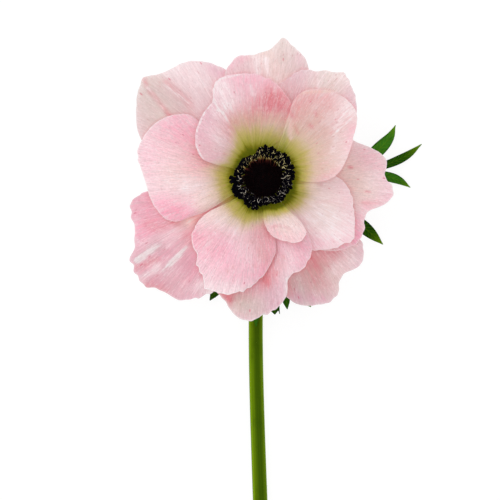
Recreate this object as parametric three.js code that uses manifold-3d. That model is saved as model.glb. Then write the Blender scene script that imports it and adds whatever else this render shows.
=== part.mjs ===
// A cut semi-double anemone laid on a flat surface: the flower faces up, and its stem bends over behind it
// and runs away along the surface. Three divided leaves (bracts) sit in a whorl under the flower.
// Millimetres, +Z up. The origin is under the middle of the whole object, on the surface that it lies on.
import * as THREE from "three";
import { mergeVertices } from "three/addons/utils/BufferGeometryUtils.js";
import Module from "manifold-3d";

// Where the flower's own axis stands. Every place below is measured from that axis.
const FLOWER_X = -4.5;
const FLOWER_Y = 100.8;

// Petals: all of them are blades of one thickness, stacked in levels from the back (0) to the front (5).
const PETAL_THICKNESS = 0.72;
const CLAW_RADIUS = 6.45; // where a petal's narrow foot starts, just outside the receptacle
const CLAW_HALF_WIDTH = 2.3;
const CLAW_HEIGHT = 15; // the lowest level's foot
const LEVEL_PITCH = 1.35;
const PETAL_REACH = 38; // from the foot to a usual tip
const CLIMB = 2; // rise over that reach on level 0
const CLIMB_PER_LEVEL = 4.4;
const DROOP = -7.2; // fall that grows with the square of the distance
const DROOP_PER_LEVEL = 0.4;
const ARCH_HALF_WIDTH = 14; // where a petal's arch is measured
const PETAL_ROWS = 7; // mesh rows from the foot to the edge

// Stem and receptacle
const STEM_LENGTH_BEHIND = 250; // from the flower's axis back to the cut end
const STEM_SIDES = 12;
const STEM_STEPS = 22; // along the stretch that lies on the surface
const STEM_RADIUS_TOP = 2.25;
const STEM_RADIUS_CUT = 2.6;
const BEND_RADIUS = 11;
const BEND_STEPS = 8;
const RECEPTACLE_TOP = 22.3;
const RECEPTACLE_PROFILE = [[3, 14], [5.3, 14.8], [6.1, 15.8], [6.1, 19], [6.1, 21.9],
  [5.8, RECEPTACLE_TOP]]; // [radius, height over the surface]
// How far the stem strays sideways: [distance behind the flower's axis, x]
const STEM_DRIFT = [[0, 0], [14, -0.3], [34, -1.9], [48, -2.3], [64, -2.2], [84, -1.7], [110, -0.8],
  [145, 0.6], [185, 1.4], [220, 0.9], [STEM_LENGTH_BEHIND, -0.4]];

// The dark dome in the middle and the stamens round it
const SEAT_GAP = 0.3; // between a piece and what carries it
const DOME_SIDES = 20;
const DOME_BUMP = 0.16;
const DOME_PROFILE = [[3.9, 0], [4.2, 1.3], [5.4, 2.6], [6.1, 4.2], [6.25, 5.6], [5.8, 7], [4.6, 8.1],
  [2.6, 8.7], [1, 8.9]]; // [radius, height over the receptacle]
const DOME_SHIFT_X = 0.4; // the dome leans a little to one side
const STAMEN_RING = { inner: 4.5, outer: 5.7, height: 1 };
const STAMEN_RING_SIDES = 24;
const STAMEN_ROWS = [
  { count: 20, reach: 8.4, rise: 6.1, bow: 0.9 },
  { count: 26, reach: 10.1, rise: 4.9, bow: 1.3 },
]; // how far out and how high over the receptacle the anthers stand
const STAMEN_SPREAD = 0.55; // how far an anther strays from its row
const STAMEN_TURN_SPREAD = 0.35; // how far it strays along the row, as a share of the spacing
const FILAMENT_ROOT = 0.4; // how high in the ring a filament starts
const FILAMENT_BOW_REACH = 0.3;
const FILAMENT_RADIUS = 0.32;
const ANTHER_RADIUS = 0.85;

// Leaves
const LEAF_THICKNESS = 0.7;
const LEAFLET_STEPS = 7;
const LEAFLET_CREASE = 0.45; // how far a leaflet's edges stand over its midrib
const LEAFLET_TIP_WIDTH = 0.5;
const LEAFLET_ROOT_SHARE = 0.6; // width where it leaves the stalk, as a share of its greatest width

const PINK = 0xf2c9cf;
const DEEP_PINK = 0xf3b9c6;
const GREY_PINK = 0xe6d0cf;

// level: place in the stack. aim: direction from the flower's axis, in degrees. arch: how far the sides
// stand over the middle. curl: drop of the outer edge. ruffle: [height, waves, phase] along the edge.
// folds: [x, y, size, height] of each bump or hollow. rim: the outline, counterclockwise from the foot.
const PETALS = [
  {
    name: "petal_front_small", level: 5, aim: 288, arch: 1, curl: -0.8, ruffle: [0.2, 2, 0], folds: [],
    color: PINK,
    rim: [[0.5, -9.6], [0.3, -14.3], [2.9, -19.5], [6.9, -21.5], [12.5, -22], [14.9, -18.9],
      [12.9, -14.8], [8.8, -11.3], [6, -9.3]],
  },
  {
    name: "petal_front_lower_left", level: 4, aim: 246, arch: -1.2, curl: -1.5, ruffle: [0.5, 4, 0],
    folds: [], color: PINK,
    rim: [[-5.7, -5.2], [-9.1, -7.2], [-13.2, -10.5], [-17.3, -12.4], [-21.5, -14.9], [-23.9, -18.5],
      [-24.2, -21.6], [-23.2, -25.1], [-22.5, -28.9], [-21.1, -32.3], [-18.7, -36.4], [-16, -39.2],
      [-12.2, -39.8], [-8.4, -39.3], [-4.3, -37.4], [-0.2, -34], [2.9, -29.2], [4.5, -24.7], [4.3, -20.6],
      [2.9, -16.5], [1.2, -11.7], [-0.5, -8.2]],
  },
  {
    name: "petal_front_upper_right", level: 4, aim: 42, arch: 2.4, curl: -0.6, ruffle: [0.6, 3, 2],
    folds: [], color: PINK,
    rim: [[7, -1.7], [12.2, -1], [17, -1.5], [21.5, -1], [25.6, 1.2], [28.7, 6.2], [31.1, 13.7],
      [32.3, 20.6], [31.4, 23.7], [27.3, 27.8], [22.5, 29.7], [17.3, 30.2], [13.6, 29.2], [10.5, 26.1],
      [9.1, 19.9], [8.8, 11.3], [5.7, 6.2]],
  },
  {
    name: "petal_front_upper_left", level: 3, aim: 118, arch: 1.6, curl: -0.8, ruffle: [0.7, 4, 1],
    folds: [[-17, 20, 5, -1.2], [-13.5, 24, 3, 1]], color: PINK,
    rim: [[3.3, 6.9], [7, 12.7], [8.8, 19.2], [7.6, 25.8], [3.6, 32.5], [-0.2, 34.9], [-7, 35.7],
      [-14.9, 34], [-16.8, 31.3], [-17.2, 26.4], [-20.4, 22], [-22.7, 16.5], [-22.8, 10.3], [-20.4, 6.4],
      [-15.6, 4.5], [-10.1, 3.4], [-6.4, 2.4]],
  },
  {
    name: "petal_front_bottom", level: 3, aim: 275, arch: -0.3, curl: -1.5, ruffle: [0.9, 4, 1.5],
    folds: [], color: PINK,
    rim: [[-2.2, -7.6], [-4.3, -14.4], [-9.4, -23], [-13.9, -31.6], [-16, -37.8], [-14.9, -40.2],
      [-12.5, -42.6], [-10.5, -46], [-7.4, -48.4], [-3.6, -48.8], [0.5, -47.1], [5, -44.5], [7.9, -41.2],
      [8.6, -38.1], [8.6, -35], [9.8, -33.1], [12.9, -30.9], [15.6, -27.5], [16.7, -24.4], [16, -21],
      [14.3, -17.2], [10.5, -12.4], [5, -6.9]],
  },
  {
    name: "petal_middle_left", level: 2, aim: 178, arch: -1.6, curl: -1.2, ruffle: [0.5, 3, 0.5],
    folds: [[-30, 8, 7, 1]], color: DEEP_PINK,
    rim: [[-6.4, 3.4], [-12.9, 6.2], [-18, 10], [-20.4, 14.8], [-22.2, 19.6], [-24.9, 21.6],
      [-29.7, 21.9], [-34.5, 20.3], [-38.6, 17.2], [-41.7, 12.4], [-43.1, 8.8], [-42.3, 5.2], [-40, -2.1],
      [-38, -8.2], [-35, -12.4], [-32.1, -14.6], [-29, -14.9], [-24.9, -13.4], [-20.4, -12],
      [-15.6, -9.3], [-11.5, -6.5], [-6.7, -3.4]],
  },
  {
    name: "petal_middle_upper_right", level: 2, aim: 60, arch: 1, curl: -0.6, ruffle: [0.8, 4, 0],
    folds: [], color: PINK,
    rim: [[4.6, 4.1], [12.9, 9.6], [23.2, 13.1], [30.1, 17.2], [32.3, 22.7], [31.8, 27.8], [30.1, 32.6],
      [28.3, 35.7], [24.6, 36.3], [21.3, 36.9], [18.5, 36.5], [14.9, 37.3], [11.2, 35.9], [8.2, 33.7],
      [5, 31.9], [2.6, 28.9], [1.2, 25.4], [0.5, 18.2], [1.2, 7.9]],
  },
  {
    name: "petal_middle_lower_right", level: 2, aim: 325, arch: 1.2, curl: -0.8, ruffle: [0.4, 3, 0],
    folds: [], color: PINK,
    rim: [[2.9, -7.6], [7, -12.7], [11.9, -18.5], [15.6, -22.3], [17, -24.7], [19.8, -24.7],
      [23.5, -24.4], [27.3, -23], [31.1, -21.1], [31.6, -17.5], [31.6, -13.4], [31.1, -8.9],
      [30.1, -4.8], [28, -1.5], [25.6, 0.3], [21.5, 1.7], [14.6, 2.1], [7.7, 1]],
  },
  {
    name: "petal_back_top", level: 1, aim: 92, arch: 1.2, curl: -0.8, ruffle: [0.8, 3, 1], folds: [],
    color: GREY_PINK,
    rim: [[3.3, 9.6], [10.1, 19.9], [14.6, 30.2], [16, 36.4], [14.6, 41.2], [12.2, 43.8], [9.4, 46.5],
      [7, 48.3], [5, 46.5], [2.6, 44.3], [-0.2, 43.3], [-3.6, 42.4], [-8.1, 42], [-10.1, 40.4],
      [-12.4, 37.3], [-13.2, 33.7], [-11.9, 25.1], [-7.7, 15.8], [-3.3, 7.6]],
  },
  {
    name: "petal_back_right", level: 1, aim: 355, arch: 0.6, curl: -1, ruffle: [1.2, 5, 0.5], folds: [],
    color: PINK,
    rim: [[6, -4.8], [12.9, -12.7], [18, -21.3], [20.4, -24.7], [23.5, -25.1], [27.3, -24.7],
      [30.7, -23.4], [33.1, -21.6], [34.5, -19.4], [35.2, -16.8], [35, -14.3], [35.9, -12], [37.3, -11],
      [39.7, -10.1], [42.4, -8.8], [44.7, -6.2], [45, -3.4], [44.1, -1], [42.6, 0.7], [42.4, 3.1],
      [42.9, 5.5], [41, 8.2], [37.6, 10.3], [33.5, 12], [30.1, 13.1], [24.9, 12.7], [16.3, 7.9],
      [7.7, 3.4]],
  },
  {
    name: "petal_back_upper_left", level: 0, aim: 140, arch: 0.8, curl: -0.6, ruffle: [0.7, 3, 0],
    folds: [], color: GREY_PINK,
    rim: [[-5.3, 6.2], [-7.7, 16.5], [-9.1, 26.8], [-10.5, 34.4], [-12.5, 37.3], [-15.6, 38.8],
      [-19.4, 40], [-23.2, 40.5], [-27.7, 39.7], [-31.4, 37.8], [-35.9, 35.9], [-39, 35.4], [-41, 34.9],
      [-42.1, 33], [-43.1, 29.2], [-43.6, 23.4], [-43.1, 16.8], [-41, 12], [-36.9, 7.9], [-26.6, 4.8],
      [-14.6, 2.7], [-7, 1.7]],
  },
  {
    name: "petal_back_lower_left", level: 0, aim: 216, arch: -0.5, curl: -0.5, ruffle: [0.8, 6, 0],
    folds: [], color: PINK,
    rim: [[-7.7, -2.1], [-18, -2.7], [-31.8, -3.4], [-39.7, -4.5], [-43.1, -6.2], [-45.5, -8.6],
      [-45.2, -12], [-43.8, -16.1], [-44.1, -21.3], [-44.3, -24.7], [-45.5, -27.1], [-45.3, -29.5],
      [-43.8, -31.9], [-42.4, -34.4], [-40, -36.8], [-36.9, -38.1], [-34.5, -39], [-32.8, -39.8],
      [-30.1, -41.5], [-25.9, -42.1], [-22.8, -41.6], [-19.4, -40.5], [-17, -39.5], [-14.9, -36.8],
      [-12.9, -28.9], [-9.4, -19.6], [-5, -9.3]],
  },
  {
    name: "petal_back_lower_right", level: 0, aim: 305, arch: 0.8, curl: -0.5, ruffle: [1, 4, 0],
    folds: [], color: GREY_PINK,
    rim: [[-0.2, -9.3], [1.9, -19.6], [4.6, -31.6], [7, -39.2], [8.6, -41.2], [11.9, -43.3],
      [15.8, -44], [19.1, -43.6], [21.8, -43.1], [24.9, -41.6], [26.3, -39], [26.4, -36.1],
      [28, -33.1], [31.4, -31.4], [33.7, -29.9], [34.9, -27.1], [34.9, -24.7], [34, -21.6],
      [30.1, -17.9], [21.5, -12.7], [12.9, -7.6], [6.4, -4.1]],
  },
];

// Each leaf is a few leaflets that grow out of one stalk, which comes first. A leaflet is its midrib, its
// greatest width, and how far along the midrib it is widest. A stalk keeps one width to its end.
const LEAVES = [
  {
    name: "leaf_right",
    leaflets: [
      { width: 3.2, midrib: [[2.9, -0.7, 9.3], [8, -0.6, 9.8], [15, -0.8, 9.2], [21, 0, 8.2]] },
      { width: 3.3, widest: 0.7, midrib: [[14, -0.8, 9.3], [23, 0.6, 7.7], [31, 2, 5.9], [43, 5, 2.6],
        [54.4, 11.3, 0]] },
      { width: 4.4, widest: 0.6, midrib: [[27, 1.2, 6.8], [34.4, 4, 5.4], [40, 9, 4], [45.5, 17.5, 2.2]] },
      { width: 3.3, widest: 0.6, midrib: [[27, 1, 6.8], [36, 1.4, 4.7], [43, 0.6, 2.4], [47.4, -0.8, 1],
        [50.7, -3, 0]] },
      { width: 4.4, widest: 0.7, midrib: [[12, -0.8, 9.4], [20, -5.5, 8.3], [28, -11.5, 6.5],
        [35, -16.8, 4.3], [41, -22, 1.8]] },
      { width: 3, widest: 0.5, midrib: [[25, -9.2, 7.2], [29, -9.8, 6.2], [33.4, -10, 5]] },
      { width: 3.4, widest: 0.5, midrib: [[12, -0.7, 9.4], [18, 4, 8.5], [24, 9.4, 7], [28.6, 13.6, 5.4]] },
    ],
  },
  {
    name: "leaf_bottom",
    leaflets: [
      { width: 3.2, midrib: [[0, -3.3, 10.7], [0.1, -9, 11.8], [0.3, -15, 11.6], [0.4, -20, 11]] },
      { width: 3.4, widest: 0.8, midrib: [[0.2, -12, 11.7], [-1.2, -26, 10.3], [-2.1, -38, 8.9],
        [-2.3, -46, 7.3], [-2.2, -51.2, 5.9]] },
      { width: 3, widest: 0.8, midrib: [[0.2, -12, 11.7], [-6, -24, 9.3], [-12, -33, 5.5],
        [-16.3, -39.2, 2], [-18.2, -42.2, 0]] },
      { width: 2.6, widest: 0.8, midrib: [[0.3, -14, 11.6], [2, -27, 10.2], [3.7, -38, 8.4],
        [4.5, -46.8, 6.2]] },
      { width: 1.6, widest: 0.5, midrib: [[3.2, -36, 8.7], [4.8, -42, 7.4], [6, -46.8, 6]] },
      { width: 3, widest: 0.8, midrib: [[0.3, -14, 11.6], [4, -25, 9.7], [7, -35, 7], [8.4, -45, 4]] },
      { width: 2.6, widest: 0.7, midrib: [[3, -22, 10.3], [8.6, -33, 7.6], [12.6, -40, 5.4],
        [16.6, -43.9, 4]] },
    ],
  },
  {
    name: "leaf_upper_left",
    leaflets: [
      { width: 3.2, midrib: [[-2, 1.3, 9.2], [-5.6, 5.2, 9.4], [-10, 10, 8.8], [-14, 14, 7.9]] },
      { width: 4, widest: 0.5, midrib: [[-9, 9, 9], [-17, 17, 7], [-24, 24, 3.8], [-30.5, 30, 0]] },
      { width: 3.6, widest: 0.5, midrib: [[-9, 9, 9], [-18, 13.6, 7.3], [-28, 16, 4.4], [-37.4, 16, 0.4]] },
      { width: 3.6, widest: 0.5, midrib: [[-9, 9, 9], [-13.6, 18, 7.3], [-15, 27.6, 4.4], [-14.8, 36, 1]] },
    ],
  },
];

const wasm = await Module();
wasm.setup();

// A sound geometry from loose points and triangles: equal points become one.
function geometryFrom(points, triangles) {
  const geometry = new THREE.BufferGeometry();
  geometry.setAttribute("position", new THREE.Float32BufferAttribute(points.flat(), 3));
  geometry.setIndex(triangles.flat());
  return mergeVertices(geometry, 1e-4);
}

// A closed skin over rings of points. Each ring runs counterclockwise as seen looking back at it.
function skin(rings) {
  const sides = rings[0].length;
  const last = rings.length - 1;
  const points = rings.flat();
  const triangles = [];
  for (let ring = 0; ring < last; ring += 1) {
    for (let side = 0; side < sides; side += 1) {
      const a = ring * sides + side;
      const b = ring * sides + (side + 1) % sides;
      triangles.push([a, b, b + sides], [a, b + sides, a + sides]);
    }
  }
  for (let side = 1; side < sides - 1; side += 1) {
    triangles.push([0, side + 1, side]);
    triangles.push([last * sides, last * sides + side, last * sides + side + 1]);
  }
  return geometryFrom(points, triangles);
}

// A closed blade: grid(row, column) is the lower face, and the upper face lies a thickness over it.
function blade(rows, columns, thickness, grid) {
  const width = columns + 1;
  const upper = (rows + 1) * width;
  const points = [];
  const triangles = [];
  for (const lift of [0, thickness]) {
    for (let row = 0; row <= rows; row += 1) {
      for (let column = 0; column <= columns; column += 1) {
        const [x, y, z] = grid(row, column);
        points.push([x, y, z + lift]);
      }
    }
  }
  const edge = [];
  for (let column = 0; column < columns; column += 1) edge.push(column);
  for (let row = 0; row < rows; row += 1) edge.push(row * width + columns);
  for (let column = columns; column > 0; column -= 1) edge.push(rows * width + column);
  for (let row = rows; row > 0; row -= 1) edge.push(row * width);
  edge.forEach((from, index) => {
    const to = edge[(index + 1) % edge.length];
    triangles.push([from, upper + from, upper + to], [from, upper + to, to]);
  });
  for (let row = 0; row < rows; row += 1) {
    for (let column = 0; column < columns; column += 1) {
      const a = row * width + column;
      const b = a + 1;
      const c = a + width;
      const d = c + 1;
      triangles.push([a, b, c], [b, d, c]);
      triangles.push([upper + a, upper + c, upper + b], [upper + b, upper + c, upper + d]);
    }
  }
  return geometryFrom(points, triangles);
}

// A geometry with nothing but its shape, so that equal points become one.
function bare(geometry) {
  geometry.deleteAttribute("normal");
  geometry.deleteAttribute("uv");
  return mergeVertices(geometry, 1e-4);
}

function solid(geometry) {
  const mesh = new wasm.Mesh({
    numProp: 3,
    vertProperties: Float32Array.from(geometry.attributes.position.array),
    triVerts: Uint32Array.from(geometry.index.array),
  });
  return new wasm.Manifold(mesh);
}

function joined(geometries) {
  const whole = geometries.map(solid).reduce((all, next) => all.add(next));
  const mesh = whole.getMesh();
  const geometry = new THREE.BufferGeometry();
  geometry.setAttribute("position", new THREE.Float32BufferAttribute(mesh.vertProperties, 3));
  geometry.setIndex(new THREE.Uint32BufferAttribute(mesh.triVerts, 1));
  return geometry;
}

function named(name, geometry, color, roughness) {
  const mesh = new THREE.Mesh(geometry, new THREE.MeshStandardMaterial({ color, roughness, metalness: 0 }));
  mesh.name = name;
  return mesh;
}

function clamp01(value) {
  return Math.min(1, Math.max(0, value));
}

// Height of a petal's lower face. outwards runs from 0 at the foot to 1 at the edge, across from 0 to 1.
function petalHeight(petal, x, y, outwards, across) {
  const far = (Math.hypot(x, y) - CLAW_RADIUS) / PETAL_REACH;
  const climb = CLIMB + CLIMB_PER_LEVEL * petal.level;
  const droop = DROOP + DROOP_PER_LEVEL * petal.level;
  let z = CLAW_HEIGHT + LEVEL_PITCH * petal.level + climb * far + droop * far * far;
  const aim = THREE.MathUtils.degToRad(petal.aim);
  const sideways = (y * Math.cos(aim) - x * Math.sin(aim)) / ARCH_HALF_WIDTH;
  z += petal.arch * sideways * sideways * clamp01(1.6 * far);
  const loose = clamp01(2 * far);
  z += petal.curl * loose * clamp01((outwards - 0.6) / 0.4) ** 2;
  const [height, waves, phase] = petal.ruffle;
  z += height * loose * outwards ** 3 * Math.sin(2 * Math.PI * waves * across + phase);
  for (const [foldX, foldY, size, lift] of petal.folds) {
    z += lift * Math.exp(-((x - foldX) ** 2 + (y - foldY) ** 2) / (2 * size * size));
  }
  return z;
}

// A petal spreads like a fan from its foot, a short arc round the receptacle, to its outline.
function petalMesh(petal) {
  const lengths = [0];
  for (let i = 1; i < petal.rim.length; i += 1) {
    const [x0, y0] = petal.rim[i - 1];
    const [x1, y1] = petal.rim[i];
    lengths.push(lengths[i - 1] + Math.hypot(x1 - x0, y1 - y0));
  }
  const columns = petal.rim.length - 1;
  const aim = THREE.MathUtils.degToRad(petal.aim);
  const halfAngle = CLAW_HALF_WIDTH / CLAW_RADIUS;
  const grid = (row, column) => {
    const outwards = row / PETAL_ROWS;
    const across = lengths[column] / lengths[columns];
    const angle = aim + halfAngle * (2 * (column / columns) - 1);
    const [rimX, rimY] = petal.rim[column];
    const x = THREE.MathUtils.lerp(CLAW_RADIUS * Math.cos(angle), rimX, outwards);
    const y = THREE.MathUtils.lerp(CLAW_RADIUS * Math.sin(angle), rimY, outwards);
    return [x, y, petalHeight(petal, x, y, outwards, across)];
  };
  return named(petal.name, blade(PETAL_ROWS, columns, PETAL_THICKNESS, grid), petal.color, 0.6);
}

// Round section across a path: right and up span it, and a flat side faces down.
function stemRing(center, right, up, radius) {
  const ring = [];
  for (let side = 0; side < STEM_SIDES; side += 1) {
    const angle = ((side + 0.5) / STEM_SIDES) * 2 * Math.PI;
    const point = center.clone()
      .addScaledVector(up, radius * Math.cos(angle))
      .addScaledVector(right, radius * Math.sin(angle));
    ring.push(point.toArray());
  }
  return ring;
}

function stemMesh() {
  const toFlat = Math.cos(Math.PI / STEM_SIDES);
  const drift = new THREE.SplineCurve(STEM_DRIFT.map(([back, x]) => new THREE.Vector2(back, x)));
  const rings = [];
  const side = new THREE.Vector3(1, 0, 0);
  const behind = drift.getPoints(STEM_STEPS).filter((point) => point.x > BEND_RADIUS).reverse();
  for (const point of behind) {
    const radius = THREE.MathUtils.lerp(STEM_RADIUS_TOP, STEM_RADIUS_CUT, point.x / STEM_LENGTH_BEHIND);
    const center = new THREE.Vector3(point.y, -point.x, radius * toFlat);
    rings.push(stemRing(center, side, new THREE.Vector3(0, 0, 1), radius));
  }
  const bendHeight = STEM_RADIUS_TOP * toFlat + BEND_RADIUS;
  const bendX = behind.at(-1).y;
  for (let step = 0; step <= BEND_STEPS; step += 1) {
    const turned = step / BEND_STEPS;
    const angle = turned * (Math.PI / 2);
    const up = new THREE.Vector3(0, -Math.sin(angle), Math.cos(angle));
    const center = new THREE.Vector3(0, -BEND_RADIUS, bendHeight).addScaledVector(up, -BEND_RADIUS);
    center.x = bendX * (1 - turned);
    rings.push(stemRing(center, side, up, STEM_RADIUS_TOP));
  }
  for (const [radius, z] of RECEPTACLE_PROFILE) {
    rings.push(stemRing(new THREE.Vector3(0, 0, z), side, new THREE.Vector3(0, -1, 0), radius));
  }
  return named("stem", skin(rings), 0x52760f, 0.6);
}

// The dome of packed styles, with a low knobbly relief.
function domeMesh() {
  const base = RECEPTACLE_TOP + SEAT_GAP;
  const rings = DOME_PROFILE.map(([radius, height], level) => {
    const ring = [];
    for (let side = 0; side < DOME_SIDES; side += 1) {
      const angle = ((side + 0.5 * (level % 2)) / DOME_SIDES) * 2 * Math.PI;
      const bump = level > 1 && side % 2 ? DOME_BUMP : 0;
      const shift = level > 1 ? DOME_SHIFT_X : 0;
      ring.push([shift + (radius - bump) * Math.cos(angle), (radius - bump) * Math.sin(angle),
        base + height]);
    }
    return ring;
  });
  return named("dome", skin(rings), 0x0d0406, 0.8);
}

function stamenRing() {
  const base = RECEPTACLE_TOP + SEAT_GAP;
  const top = base + STAMEN_RING.height;
  const profile = [[STAMEN_RING.inner, base], [STAMEN_RING.outer, base], [STAMEN_RING.outer, top],
    [STAMEN_RING.inner, top], [STAMEN_RING.inner, base]];
  const outline = profile.map(([radius, z]) => new THREE.Vector2(radius, z));
  return bare(new THREE.LatheGeometry(outline, STAMEN_RING_SIDES).rotateX(Math.PI / 2));
}

// A repeatable scatter between -1 and 1.
function scatter(seed) {
  const wave = Math.sin(seed * 12.9898) * 43758.5453;
  return 2 * (wave - Math.floor(wave)) - 1;
}

// One stamen: a thin filament that bows up out of the ring and the anther on its end.
function stamenPieces(row, index) {
  const seed = index + 100 * row.count;
  const angle = ((index + STAMEN_TURN_SPREAD * scatter(seed)) / row.count) * 2 * Math.PI;
  const reach = row.reach + STAMEN_SPREAD * scatter(seed + 0.3);
  const rise = row.rise + STAMEN_SPREAD * scatter(seed + 0.6);
  const base = RECEPTACLE_TOP + SEAT_GAP;
  const outward = new THREE.Vector3(Math.cos(angle), Math.sin(angle), 0);
  const sideways = new THREE.Vector3(-Math.sin(angle), Math.cos(angle), 0);
  const root = 0.5 * (STAMEN_RING.inner + STAMEN_RING.outer);
  const stations = [[root, FILAMENT_ROOT],
    [0.5 * (root + reach) + FILAMENT_BOW_REACH, 0.5 * rise + row.bow], [reach, rise]];
  const rings = stations.map(([r, height]) => {
    const center = outward.clone().multiplyScalar(r).setZ(base + height);
    return [0, 1, 2, 3].map((corner) => {
      const turn = (corner * Math.PI) / 2;
      return center.clone()
        .addScaledVector(outward, FILAMENT_RADIUS * Math.cos(turn))
        .addScaledVector(sideways, FILAMENT_RADIUS * Math.sin(turn))
        .toArray();
    });
  });
  const tip = outward.clone().multiplyScalar(reach).setZ(base + rise);
  const anther = new THREE.IcosahedronGeometry(ANTHER_RADIUS, 0).rotateZ(angle);
  anther.translate(tip.x, tip.y, tip.z);
  return [skin(rings), bare(anther)];
}

function stamensMesh() {
  const pieces = [stamenRing()];
  for (const row of STAMEN_ROWS) {
    for (let index = 0; index < row.count; index += 1) pieces.push(...stamenPieces(row, index));
  }
  return named("stamens", joined(pieces), 0x0b0a16, 0.7);
}

function leafletWidth(leaflet, along) {
  if (!leaflet.widest) return leaflet.width;
  const swell = Math.sin(Math.PI * along ** (Math.log(0.5) / Math.log(leaflet.widest)));
  const share = Math.max(swell, LEAFLET_ROOT_SHARE * (1 - along));
  return Math.max(LEAFLET_TIP_WIDTH, leaflet.width * share);
}

function leafletGeometry(leaflet) {
  const midrib = new THREE.CatmullRomCurve3(leaflet.midrib.map((point) => new THREE.Vector3(...point)));
  const grid = (row, column) => {
    const along = row / LEAFLET_STEPS;
    const center = midrib.getPoint(along);
    const ahead = midrib.getTangent(along);
    const flat = Math.hypot(ahead.x, ahead.y);
    const offset = 0.5 * (1 - column) * leafletWidth(leaflet, along);
    const crease = LEAFLET_CREASE * Math.abs(1 - column) * Math.sin(Math.PI * along);
    return [center.x + (ahead.y / flat) * offset, center.y - (ahead.x / flat) * offset,
      center.z + crease];
  };
  return blade(LEAFLET_STEPS, 2, LEAF_THICKNESS, grid);
}

function leafMesh(leaf) {
  return named(leaf.name, joined(leaf.leaflets.map(leafletGeometry)), 0x3f8020, 0.5);
}

const anemone = new THREE.Group();
anemone.position.set(FLOWER_X, FLOWER_Y, 0);
anemone.add(stemMesh());
anemone.add(domeMesh());
anemone.add(stamensMesh());
for (const petal of PETALS) anemone.add(petalMesh(petal));
for (const leaf of LEAVES) anemone.add(leafMesh(leaf));

export default anemone;
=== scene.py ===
"""A cut semi-double anemone that lies face up: pale pink petals, a near-black middle, green leaves and stem.

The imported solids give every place. Lists and sizes here are millimetres measured from the flower's own
axis, as in the part's source, and flower_mesh() turns them into metres in the shared frame.
"""
import math

import bpy
import numpy as np
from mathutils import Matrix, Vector


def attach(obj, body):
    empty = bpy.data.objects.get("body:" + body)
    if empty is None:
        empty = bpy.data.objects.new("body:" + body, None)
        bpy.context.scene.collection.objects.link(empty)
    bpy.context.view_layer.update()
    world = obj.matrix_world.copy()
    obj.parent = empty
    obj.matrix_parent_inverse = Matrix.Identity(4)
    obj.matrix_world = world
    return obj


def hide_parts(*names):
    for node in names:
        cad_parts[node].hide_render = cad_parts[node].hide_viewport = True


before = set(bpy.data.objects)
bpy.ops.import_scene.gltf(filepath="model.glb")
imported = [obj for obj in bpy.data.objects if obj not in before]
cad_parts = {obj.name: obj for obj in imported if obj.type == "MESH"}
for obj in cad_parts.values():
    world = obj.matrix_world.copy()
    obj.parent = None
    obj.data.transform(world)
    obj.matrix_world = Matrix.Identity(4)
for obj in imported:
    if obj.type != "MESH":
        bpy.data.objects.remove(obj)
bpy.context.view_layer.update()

MM = 0.001
FLOWER_X = -4.5  # where the flower's axis stands in the shared frame
FLOWER_Y = 100.8

# The photograph's view: straight down, its middle this far from the flower's axis
VIEW_X = -4.29
VIEW_Y = -24.73
VIEW_WIDTH = 171.8  # what the picture spans at the height of the petals
VIEW_HEIGHT = 18
VIEW_DISTANCE = 2500
VIEW_END = 100  # metres
SENSOR = 36

# White surface and light, in metres
FLOOR_HALF = 4
FLOOR_DROP = 0.0002
FLOOR_GREY = (0.13, 0.13, 0.13, 1)
FLOOR_GRAIN = (0.14, 0.14, 0.14, 1)
FLOOR_GLOW = 0.9
SKY_STRENGTH = 0.86
LAMP_PLACE = (-0.9, 0.8, 1.5)
LAMP_SIZE = 0.9
LAMP_POWER = 6
LAMP_AIM_HEIGHT = 0.02
WHITE = (1, 1, 1, 1)

# Petals: the form of their solids
PETAL_THICKNESS = 0.72
CLAW_RADIUS = 6.45
CLAW_HALF_WIDTH = 2.3
CLAW_HEIGHT = 15
LEVEL_PITCH = 1.35
PETAL_REACH = 38
CLIMB = 2
CLIMB_PER_LEVEL = 4.4
DROOP = -7.2
DROOP_PER_LEVEL = 0.4
ARCH_HALF_WIDTH = 14
ARCH_RAMP = 1.6  # how fast the arch sets in on the way out
LOOSE_RAMP = 2  # how fast curl and ruffle do
CURL_START = 0.6

# Petals: what is finer than in the solids
SKIN_THICKNESS = 0.3  # a real petal is much thinner than its solid
EDGE_THICKNESS = 0.09
EDGE_THINNING = 5
FLANK_THINNING = 6
FLANK_LEAST = 0.25
RIM_STEPS = 8  # mesh columns between two points of an outline
SKIN_ROWS = 56
ROW_CROWDING = 1.25  # past 1, the rows lie closer together towards the edge
RIPPLE = 0.1  # low waves that fan out over a petal
RIPPLE_COUNTS = (9, 14, 23)
RIPPLE_RAMP = 2
RIPPLE_FADE = 8
RIPPLE_AT_EDGE = 0.4
FRILL_RATES = (71, 127, 211)  # the small waves of an uneven edge
FRILL_SWELL = 0.8
FRILL_SWELL_RATE = 29
PATTERN_SHIFT = 3.7  # from one petal's patterns to the next one's
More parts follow.
